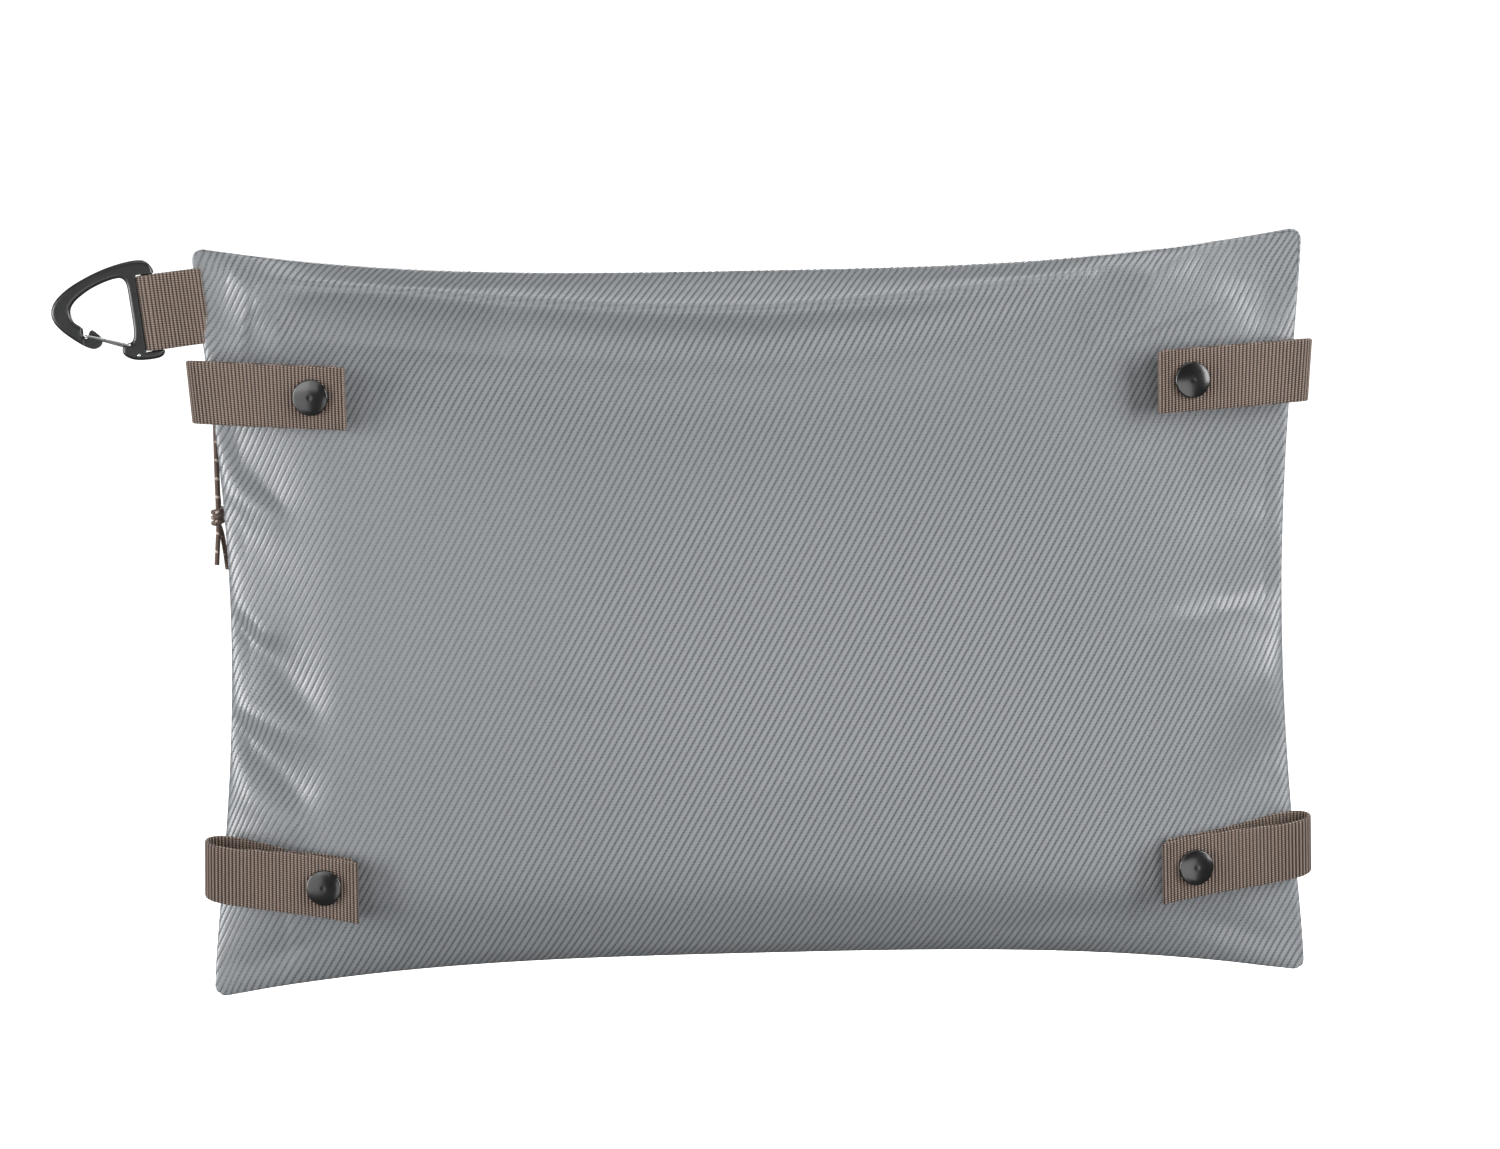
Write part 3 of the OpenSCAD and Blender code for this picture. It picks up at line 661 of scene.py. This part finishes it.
def make_panel(name, node, grid, side):
    """One panel of the pouch. It was cut as long as its longest column and as wide as its widest row."""
    columns, rows = grid.shape[:2]
    faces = grid_faces(columns, rows)
    if side < 0:
        faces = [f[::-1] for f in faces]
    piece = mesh_piece(name, grid.reshape(-1, 3), faces, twill, cloth_coordinates(grid))
    thicken(piece, FABRIC_T)
    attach(piece, "pouch")
    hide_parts(node)


def bottom(x):
    """The bottom seam."""
    return -half_h(x)


def above_zip(x):
    """The lower edge of the cloth above the zip."""
    return np.full_like(x, ZIP_Z + SLOT_HALF)


def below_zip(x):
    """The upper edge of the cloth below the zip."""
    return np.full_like(x, ZIP_Z - SLOT_HALF)


make_panel("back_cloth", "back_panel", face_grid(261, 181, bottom, half_h, back_depth, -1, BACK_CREASES), -1)
make_panel("front_cloth_above_zip", "front_upper_panel",
           face_grid(261, 41, above_zip, half_h, front_depth, 1, []), 1)
make_panel("front_cloth_below_zip", "front_lower_panel",
           face_grid(261, 151, bottom, below_zip, front_depth, 1, FRONT_CREASES), 1)


# ---------------- webbing

def web_section(width, thickness, across_cells):
    """Points round a strip's section, as (across, out) shares, with round edges."""
    r = thickness / 2
    flat = np.linspace(-width / 2 + r, width / 2 - r, across_cells)
    round_edge = np.linspace(-math.pi / 2, math.pi / 2, 5)[1:-1]
    right = [(width / 2 - r + r * math.cos(t), -r * math.sin(t)) for t in round_edge]
    left = [(-x, -y) for x, y in right]
    return np.array([(x, r) for x in flat] + right + [(x, -r) for x in flat[::-1]] + left)


def make_strip(name, path, across, width, thickness, material, step, rib_depth=0.0):
    """A strip of webbing along a path, with the ribs that run across its width. The direction across it is
    the same all along, or one for each point of the path."""
    ways = np.broadcast_to(np.array(across, float), (len(path), 3))
    both, run = spaced(np.concatenate([path, ways], 1), step)
    path, across = both[:, :3], both[:, 3:]
    across = across / np.linalg.norm(across, axis=1)[:, None]
    ahead = np.gradient(path, axis=0)
    normal = np.cross(ahead, across)
    normal /= np.linalg.norm(normal, axis=1)[:, None]
    section = web_section(width, thickness, 14)
    ribs = 1 - rib_depth * (0.5 - 0.5 * np.cos(2 * math.pi * run / MM / WEB_RIB_MM))
    points = (path[:, None] + section[None, :, :1] * across[:, None]
              + (section[:, 1][None, :] * ribs[:, None])[:, :, None] * normal[:, None, :])
    count = len(section)
    cloth = np.stack([np.repeat(run / MM, count), np.tile(section[:, 0] / MM, len(path))], 1)
    piece = mesh_piece(name, points.reshape(-1, 3), tube_faces(len(path), count), material, cloth)
    weld(piece)
    return piece


def weld(piece, distance=0.0):
    """Joins points that lie together, and turns every face outwards."""
    bm = bmesh.new()
    bm.from_mesh(piece.data)
    if distance:
        bmesh.ops.remove_doubles(bm, verts=bm.verts, dist=distance)
    bmesh.ops.recalc_face_normals(bm, faces=bm.faces)
    bm.to_mesh(piece.data)
    bm.free()


def strap_axes(where, side):
    """Along the strap from its snap to its fold, away from the pouch, and up across it."""
    up = joint_axis[f"strap_{where}_open"] * side
    out = np.array([side * math.sin(STRAP_LEAN), -math.cos(STRAP_LEAN), 0])
    return np.cross(up, out) * side, out, up


def make_strap(where, side):
    """One piece of webbing: along the pouch from its root to the fold, and back to the snap and its free
    end. Towards the fold the loop stands open, and its plane turns with the slope of the pouch. Gives its
    snap's cap."""
    along, out, up = strap_axes(where, side)
    lower = where.startswith("lower")
    # how far the loop stands open, how far its plane turns, and the slant of the ribs at both ends
    leg, opened = STRAP_GAP / 2 + WEB_T / 2, (5.2 if lower else 4.6) * MM
    pitch = math.radians(14 if lower else -3)
    shear_snap, shear_fold = (0.14, 0.05) if lower else (0.05, 0.14)
    centre = joint_pos[f"strap_{where}_open"]
    plan = [(-STRAP_ROOT, -leg), (0, -leg), (0.3 * STRAP_L, -leg), (0.6 * STRAP_L, -leg),
            (STRAP_L - 12 * MM, -leg), (STRAP_L - 7 * MM, -leg)]
    middle, reach, curl = 0.5 * opened, leg + 0.5 * opened, 7.5 * MM
    for turn in np.linspace(-0.44, 0.44, 13) * math.pi:
        plan.append((STRAP_L + leg - curl + curl * math.cos(turn), middle + reach * math.sin(turn)))
    plan += [(STRAP_L - 9 * MM, leg + 0.98 * opened), (STRAP_L - 16 * MM, leg + 0.82 * opened),
             (0.5 * STRAP_L, leg + 0.52 * opened), (0.28 * STRAP_L, leg + 0.18 * opened),
             (0.12 * STRAP_L, leg), (0, leg), (-8 * MM, leg), (-0.8 * STRAP_END, leg + 0.3 * MM),
             (-STRAP_END, leg + 0.6 * MM)]
    path, ways = [], []
    for a, b in plan:
        share = float(smooth(a / STRAP_L))
        # the leg on the pouch lies flat until close to the fold
        twist = share if b > 0 else float(smooth((a / STRAP_L - 0.7) / 0.3))
        turn, shear = pitch * twist, shear_snap + (shear_fold - shear_snap) * share
        rise = (1.2 if lower else 0.3) * MM * share ** 2
        slope_out = out * math.cos(turn) - up * math.sin(turn)
        path.append(centre + (a - STRAP_L) * along + b * slope_out + rise * up)
        ways.append(up * math.cos(turn) + out * math.sin(turn) + shear * along)
    both = rounded_path(np.concatenate([np.array(path), np.array(ways)], 1), 2)
    strap = make_strip(f"strap_{where}", both[:, :3], both[:, 3:], STRAP_W, WEB_T, webbing, 0.2 * MM, 0.34)
    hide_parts(f"strap_base_{where}", f"strap_fold_{where}", f"strap_flap_{where}")
    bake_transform(strap)
    snap = centre - STRAP_L * along
    cap = make_cap(f"snap_button_{where}", snap + (STRAP_GAP / 2 + WEB_T) * out, out)
    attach(cap, f"strap_{where}")
    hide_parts(f"snap_cap_{where}")
    return cap


def turned(name, profile, base, axis, material, sides=72):
    """A closed lathe shape: profile points are (radius, height along the axis) in millimetres."""
    axis = np.array(axis, float)
    u = np.cross(axis, (0, 0, 1))
    u /= np.linalg.norm(u)
    v = np.cross(axis, u)
    turn = np.arange(sides) * 2 * math.pi / sides
    spoke = np.cos(turn)[:, None] * u + np.sin(turn)[:, None] * v
    points = [base + r * MM * spoke + h * MM * axis for r, h in profile]
    piece = mesh_piece(name, np.concatenate(points), tube_faces(len(profile), sides), material)
    weld(piece)
    return piece


def make_cap(name, base, out):
    """A domed snap cap with a rolled rim and a faint dimple in its middle."""
    radius, height, rim = 7.2, 2.2, 0.7
    crown = []
    for k in range(25):
        r = 0.05 + (radius - rim - 0.05) * k / 24
        dimple = 0.07 * math.exp(-(r / 0.9) ** 2)
        crown.append((r, rim + (height - rim) * math.sqrt(max(0, 1 - (r / (radius + 0.9)) ** 2)) - dimple))
    edge = [(radius - rim + rim * math.sin(t), crown[-1][1] - rim * (1 - math.cos(t)) * 1.1)
            for t in np.linspace(0.2, math.pi * 0.8, 9)]
    post_end = -WEB_T / MM - 0.6
    under = [(radius - 1.0, 0.02), (2.0, 0.02), (1.8, post_end), (0.05, post_end)]
    return turned(name, crown + edge + under, base, out, black_lacquer)


snap_caps = [make_strap(where, side) for where, side in STRAPS]


# ---------------- the carabiner and its tab

BAR = joint_pos["carabiner_swing"]
AWAY = np.array([-math.cos(TAB_LEAN), 0, -math.sin(TAB_LEAN)])
UP_BAR = np.array([-math.sin(TAB_LEAN), 0, math.cos(TAB_LEAN)])
FORWARD = np.array([0, 1, 0])


def bar_point(p, q, t=0.0):
    """A point given in millimetres in the carabiner's own axes: away from the pouch, up the bar, forwards."""
    return BAR + (p * AWAY + q * UP_BAR + t * FORWARD) * MM


def make_tab():
    """The loop of webbing round the carabiner's bar, from the side seam and back into it."""
    wrap = BAR_R / MM + 0.65 + WEB_T / MM / 2
    root = (joint_pos["tab_swing"] - BAR) @ AWAY / MM
    plan = [(root - 3, 0.8), (root + 1, 0.85), (root + 5, 1.3), (-6, 2.7)]
    plan += [(wrap * math.sin(t), wrap * math.cos(t)) for t in np.linspace(-0.25, math.pi + 0.25, 15)]
    plan += [(-6, -2.7), (root + 5, -1.3), (root + 1, -0.85), (root - 3, -0.8)]
    path = rounded_path(np.array([bar_point(p, 0, t) for p, t in plan]), 2)
    tab = make_strip("carabiner_webbing", path, UP_BAR, TAB_W, WEB_T, webbing, 0.22 * MM, 0.3)
    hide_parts("carabiner_tab")
    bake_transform(tab)


FRAME_OUTLINE = [
    (13.8, -12.8), (13.4, -15.6), (9.5, -18), (3, -18.6), (-2.6, -18), (-3.2, -14), (-3.2, 15), (-2, 20),
    (3, 21.6), (13.4, 20.4), (23.4, 17.5), (33, 13.2), (39, 8), (39.8, 2), (35.5, -4), (26, -11.8),
    (21.6, -11), (20.6, -7.4), (24.2, -3.4), (25.9, -4.6), (26.4, -7), (28.2, -7), (28.2, -4.6), (27.8, -2.2),
    (31.6, 0.6), (32.3, 6.4), (24.2, 12), (14, 15.2), (8.2, 15), (8, 5), (7.9, -10.6), (12.4, -11)]


def cut_corners(points, passes):
    """A closed outline with its corners rounded."""
    for _ in range(passes):
        points = [tuple(np.array(points[i]) * s + np.array(points[(i + 1) % len(points)]) * (1 - s))
                  for i in range(len(points)) for s in (0.75, 0.25)]
    return points


def bar_matrix():
    """From the carabiner's own axes, in millimetres, to the shared frame."""
    turn = Matrix((Vector(AWAY), Vector(UP_BAR), Vector(FORWARD))).transposed().to_4x4()
    return Matrix.Translation(Vector(BAR)) @ turn @ Matrix.Scale(MM, 4)


def plate(name, outline, thickness, bevel):
    """A flat plate with round edges, from a closed outline in millimetres."""
    curve = bpy.data.curves.new(name, "CURVE")
    curve.dimensions, curve.fill_mode = "2D", "BOTH"
    curve.bevel_depth, curve.bevel_resolution = bevel, 5
    curve.extrude, curve.offset = thickness / 2 - bevel, -bevel
    spline = curve.splines.new("POLY")
    spline.points.add(len(outline) - 1)
    for point, (x, y) in zip(spline.points, outline):
        point.co = (x, y, 0, 1)
    spline.use_cyclic_u = True
    source = bpy.data.objects.new(name, curve)
    bpy.context.scene.collection.objects.link(source)
    bpy.context.view_layer.update()
    mesh = bpy.data.meshes.new_from_object(source.evaluated_get(bpy.context.evaluated_depsgraph_get()))
    bpy.data.objects.remove(source)
    piece = bpy.data.objects.new(name, mesh)
    bpy.context.scene.collection.objects.link(piece)
    weld(piece, 0.001)
    return piece


def join_boxes(name, boxes):
    """One mesh of plain boxes, for cutting with: each is (low corner, high corner)."""
    points, faces = [], []
    for low, high in boxes:
        base = len(points)
        points += [(x, y, z) for x in (low[0], high[0]) for y in (low[1], high[1]) for z in (low[2], high[2])]
        faces += [tuple(base + k for k in f) for f in
                  ((0, 1, 3, 2), (4, 6, 7, 5), (0, 4, 5, 1), (2, 3, 7, 6), (0, 2, 6, 4), (1, 5, 7, 3))]
    cutter = mesh_piece(name, points, faces, black_anodised, round_shading=False)
    weld(cutter)
    return cutter


def soften(piece, voxel, passes):
    """Rounds every edge: an even remesh, then smoothing."""
    remesh = piece.modifiers.new("remesh", "REMESH")
    remesh.mode, remesh.voxel_size = "VOXEL", voxel
    relax = piece.modifiers.new("relax", "SMOOTH")
    relax.factor, relax.iterations = 0.5, passes
    apply_modifiers(piece)
    piece.data.polygons.foreach_set("use_smooth", [True] * len(piece.data.polygons))
    return piece


def dressed(piece, material, body, slot, *nodes):
    """Gives a finished mesh its one material and its place in the frame."""
    piece.data.materials.clear()
    piece.data.materials.append(material)
    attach(piece, body)
    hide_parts(*nodes)
    return piece


def make_carabiner():
    """The frame with its hook, round-edged, and the bare bar that the webbing goes round."""
    thickness, slot_end = 5.0, TAB_W / MM / 2 + 0.4
    body = soften(plate("carabiner_body", cut_corners(FRAME_OUTLINE, 3), thickness, 1.5), 0.28, 1)
    bar_edge = BAR_R / MM + WEB_T / MM + 0.75
    both_faces = ((1.5, 9), (-9, -1.5))
    cuts = [((-10, -slot_end, -9), (bar_edge, slot_end, 9))]
    # the nose is thinner where the gate closes over it
    cuts += [((18, -14, low), (28.5, -2.4, high)) for low, high in both_faces]
    # grip notches round the nose
    for k in range(6):
        turn = math.radians(38 - 17 * k)
        x, y = 30.6 + 9.6 * math.cos(turn), 4.6 + 9.4 * math.sin(turn)
        cuts += [((x - 1.1, y - 0.42, low), (x + 1.1, y + 0.42, high)) for low, high in both_faces]
    cutter = join_boxes("cutter", cuts)
    cut = body.modifiers.new("cut", "BOOLEAN")
    cut.operation, cut.object, cut.solver = "DIFFERENCE", cutter, "EXACT"
    apply_modifiers(body)
    bpy.data.objects.remove(cutter)
    bar = np.array([(0, q, 0) for q in np.linspace(-slot_end - 1, slot_end + 1, 40)])
    rod = tube("bar", bar, BAR_R / MM, 24, black_anodised)
    join = body.modifiers.new("join", "BOOLEAN")
    join.operation, join.object, join.solver = "UNION", rod, "EXACT"
    apply_modifiers(body)
    bpy.data.objects.remove(rod)
    soften(body, 0.2, 3)
    body.data.transform(bar_matrix())
    dressed(body, black_anodised, "carabiner", "carabiner_black", "carabiner_frame")


def make_gate():
    """One bent wire: from the pivot up one side, across behind the nose, and down the other side to a pivot
    of its own, a little higher."""
    pivot, tip, side = (10.2, -13.4), (27.4, -6.0), 3.45
    start, lean, rear = 1.2, (0.4, 0.2), (pivot[0], pivot[1] + 1.6)
    plan = [(*pivot, start), (*pivot, side - 0.2), (pivot[0] + lean[0], pivot[1] + lean[1], side),
            (tip[0] - 1, tip[1] - 0.45, side), (*tip, side - 0.6), (*tip, 0.6 - side),
            (tip[0] - 1, tip[1] + 0.25, -side), (rear[0] + lean[0], rear[1] + lean[1], -side),
            (*rear, 0.2 - side), (*rear, -start)]
    path, _ = spaced(rounded_path(np.array([bar_point(*p) for p in plan]), 2), 0.4 * MM)
    wire = tube("gate_wire", path, 0.55 * MM, 16, steel_wire, seed_normal=tuple(UP_BAR))
    dressed(wire, steel_wire, "gate", "gate_wire", "carabiner_gate")


def make_rivet():
    """The bright end of the gate's pin, on both faces of the lobe."""
    dome = [(0.05, 0.55), (0.35, 0.5), (0.62, 0.34), (0.75, 0.1), (0.75, -0.5), (0.05, -0.5)]
    for face, place in ((1, "front"), (-1, "back")):
        base = bar_point(7.3, -16.2, face * 2.3)
        rivet = turned(f"gate_rivet_{place}", dome, base, FORWARD * face, steel_wire, 24)
        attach(rivet, "carabiner")


make_tab()
make_carabiner()
make_gate()
make_rivet()


# ---------------- the zip

def copy_of(name, node):
    """A new object with the mesh of a CAD node, in millimetres."""
    piece = bpy.data.objects.new(name, frame["nodes"][node].data.copy())
    bpy.context.scene.collection.objects.link(piece)
    piece.data.transform(Matrix.Scale(1 / MM, 4))
    return piece


def softened_node(name, node, voxel, body):
    """A metal CAD node with its edges rounded. Its voxels are in millimetres."""
    piece = soften(copy_of(name, node), voxel, 3)
    piece.data.transform(Matrix.Scale(MM, 4))
    dressed(piece, dark_metal, body, "zip_metal", node)


def make_coil(side):
    """One side of the zip: a wire wound in long loops that mesh with the other side's."""
    half = "upper" if side > 0 else "lower"
    low, high = corners(f"zip_coil_{half}")
    pitch, wire, steps = 1.35 * MM, 0.36 * MM, 12
    reach, deep = (high[2] - low[2]) / 2 + 0.15 * MM - wire / 2, (high[1] - low[1]) / 2 - wire
    turns = int((high[0] - low[0]) / pitch)
    angle = np.arange(turns * steps) * 2 * math.pi / steps
    middle = (low + high) / 2
    path = np.stack([low[0] + pitch * (angle / (2 * math.pi) + (0.5 if side > 0 else 0)),
                     middle[1] + deep * np.sin(angle),
                     middle[2] - side * 0.1 * MM + reach * np.cos(angle)], 1)
    coil = tube(f"zip_teeth_{half}", path, wire, 6, nylon_coil, seed_normal=(0, 0, 1))
    dressed(coil, nylon_coil, "pouch", "zip_coil", f"zip_coil_{half}")


def make_tape(side):
    """The woven tape that one side's coil is sewn to, with a faint wave along it."""
    half = "upper" if side > 0 else "lower"
    low, high = corners(f"zip_tape_{half}")
    middle = (low + high) / 2
    x = np.linspace(low[0], high[0], 260)
    path = np.stack([x, middle[1] + 0.06 * MM * np.sin(x / (7 * MM)), np.full_like(x, middle[2])], 1)
    tape = make_strip(f"zip_cloth_{half}", path, (0, 0, 1), high[2] - low[2], high[1] - low[1], tape_cloth,
                      1.2 * MM)
    dressed(tape, tape_cloth, "pouch", "zip_tape", f"zip_tape_{half}")


def make_end_cover(side):
    """The folded patch over one end of the zip."""
    end = "right" if side > 0 else "left"
    low, high = corners(f"zip_end_cover_{end}")
    thick, rise, reach = 0.9 * MM, high[1] - low[1], high[0] - low[0]
    root = low[0] if side > 0 else high[0]
    turns = np.linspace(0, 1, 24)
    path = [(root - side * 5 * MM, low[1] + rise - thick / 2 + 0.1 * MM, ZIP_Z)]
    path += [(root + side * (reach - thick / 2) * math.sin(t * math.pi / 2),
              low[1] + (rise - thick / 2) * math.cos(t * math.pi / 2) + 0.05 * MM, ZIP_Z) for t in turns]
    patch = make_strip(f"zip_end_patch_{end}", rounded_path(np.array(path), 1), (0, 0, 1), high[2] - low[2],
                       thick, twill, 0.6 * MM)
    dressed(patch, twill, "pouch", "coated_fabric", f"zip_end_cover_{end}")


def make_stitches(name, path, outward):
    """A row of stitches along a path on a surface, each one a short bent thread."""
    pitch, length, radius, sides, cells = 3.2 * MM, 2.3 * MM, 0.24 * MM, 6, 7
    path, run = spaced(path, 0.2 * MM)
    outward = np.array(outward, float)
    arch = np.sin(np.linspace(0, math.pi, cells))
    points, faces = [], []
    for start in np.arange(0.4 * MM, run[-1] - length, pitch):
        marks = start + np.linspace(0, 1, cells) * length
        line = np.stack([np.interp(marks, run, path[:, k]) for k in range(3)], 1)
        line = line + ((arch - 0.55) * 0.4 * MM)[:, None] * outward
        faces += tube_faces(cells, sides, len(points))
        points += list(tube_rings(line, radius * (0.55 + 0.45 * arch), sides, tuple(outward)))
    piece = mesh_piece(name, points, faces, thread)
    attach(piece, "pouch")


def stitch_line_along_zip(name, gap, side):
    """Topstitching on the front cloth, parallel to the zip."""
    x = np.linspace(-CHAIN_HALF + 3 * MM, CHAIN_HALF - 3 * MM, 400)
    z = np.full_like(x, ZIP_Z + side * (SLOT_HALF + gap))
    depth = front_depth(x, z)
    depth = depth - puckers(x, z) * np.sqrt(seam_hold(depth))
    make_stitches(name, np.stack([x, SEAM_Y + depth, z], 1), (0, 1, 0))


for side in (1, -1):
    make_coil(side)
    make_tape(side)
    make_end_cover(side)
    stitch_line_along_zip("topstitch_above_zip" if side > 0 else "topstitch_below_zip", 2.2 * MM, side)
softened_node("slider_body", "zip_slider", 0.16, "slider")
softened_node("slider_pull", "zip_pull_tab", 0.12, "pull")


# ---------------- CAD nodes that show as they are

def paint(node, material):
    """Gives a kept CAD node its one material."""
    mesh = frame["nodes"][node].data
    mesh.materials.clear()
    mesh.materials.append(material)


binding_cloth = make_hard("binding_cloth", (38, 39, 41), (60, 61, 64), 0.8, 2400.0, 0.1 * MM)
for node in [f"snap_socket_{where}" for where, _ in STRAPS] + ["snap_studs", "snap_eyelets"]:
    paint(node, dark_metal)
for node in ("seam_binding", "tab_anchor"):
    paint(node, binding_cloth)


# ---------------- floor and light

def make_floor():
    """A wide pale floor with a light of its own."""
    points = [(x, y, FLOOR_Z) for x, y in ((-20, -20), (20, -20), (20, 30), (-20, 30))]
    pale = Nodes("pale_floor").finish(Base_Color=(0.92, 0.92, 0.92, 1.0), Roughness=0.9,
                                      Specular_IOR_Level=0.0)
    floor = mesh_piece("floor", points, [(0, 1, 2, 3)], pale, round_shading=False)
    # the floor throws no light back on the object, and hides none of the low light
    floor.visible_diffuse = floor.visible_glossy = floor.visible_shadow = False
    sun = bpy.data.objects.new("floor_light", bpy.data.lights.new("floor_light", "SUN"))
    sun.data.energy, sun.data.angle = 4.2, math.radians(90)
    bpy.context.scene.collection.objects.link(sun)
    only_floor = bpy.data.collections.new("lit_by_floor_light")
    only_floor.objects.link(floor)
    sun.light_linking.receiver_collection = only_floor


def make_world():
    """The room is white to look at, and gives the object a weaker, even light."""
    world = bpy.data.worlds.new("studio")
    world.use_nodes = True
    bpy.context.scene.world = world
    nodes, links = world.node_tree.nodes, world.node_tree.links
    sight = nodes.new("ShaderNodeLightPath")
    shown, dim = nodes.new("ShaderNodeBackground"), nodes["Background"]
    for background, strength in ((shown, 1.05), (dim, 0.12)):
        background.inputs["Color"].default_value = (1, 1, 1, 1)
        background.inputs["Strength"].default_value = strength
    mix = nodes.new("ShaderNodeMixShader")
    links.new(sight.outputs["Is Camera Ray"], mix.inputs[0])
    links.new(dim.outputs[0], mix.inputs[1])
    links.new(shown.outputs[0], mix.inputs[2])
    links.new(mix.outputs[0], nodes["World Output"].inputs["Surface"])


def make_lights():
    """Soft boxes round the object, and one that lights only the snap caps."""
    middle = (0, SEAM_Y, 0)
    softbox("light_left", (-1.9, -0.6, 0.1), middle, (0.7, 1.2), 30)
    softbox("light_right", (1.25, -0.55, 0.4), middle, (0.8, 1.0), 18)
    softbox("light_front", (-1.5, -1.5, 0.1), middle, (1.1, 1.6), 8)
    softbox("light_fill", (0.4, -2.0, -0.55), middle, (1.6, 1.0), 9.5)
    softbox("light_top", (0.0, -0.3, 1.6), middle, (1.4, 0.5), 7)
    softbox("light_on_snaps", (-0.95, -1.05, 0.75), middle, (1.3, 1.2), 8, snap_caps)
    softbox("light_back", (0.4, 1.9, 0.9), middle, (1.2, 0.9), 34)


make_floor()
make_world()
make_lights()
bpy.context.scene.view_settings.view_transform = "Standard"
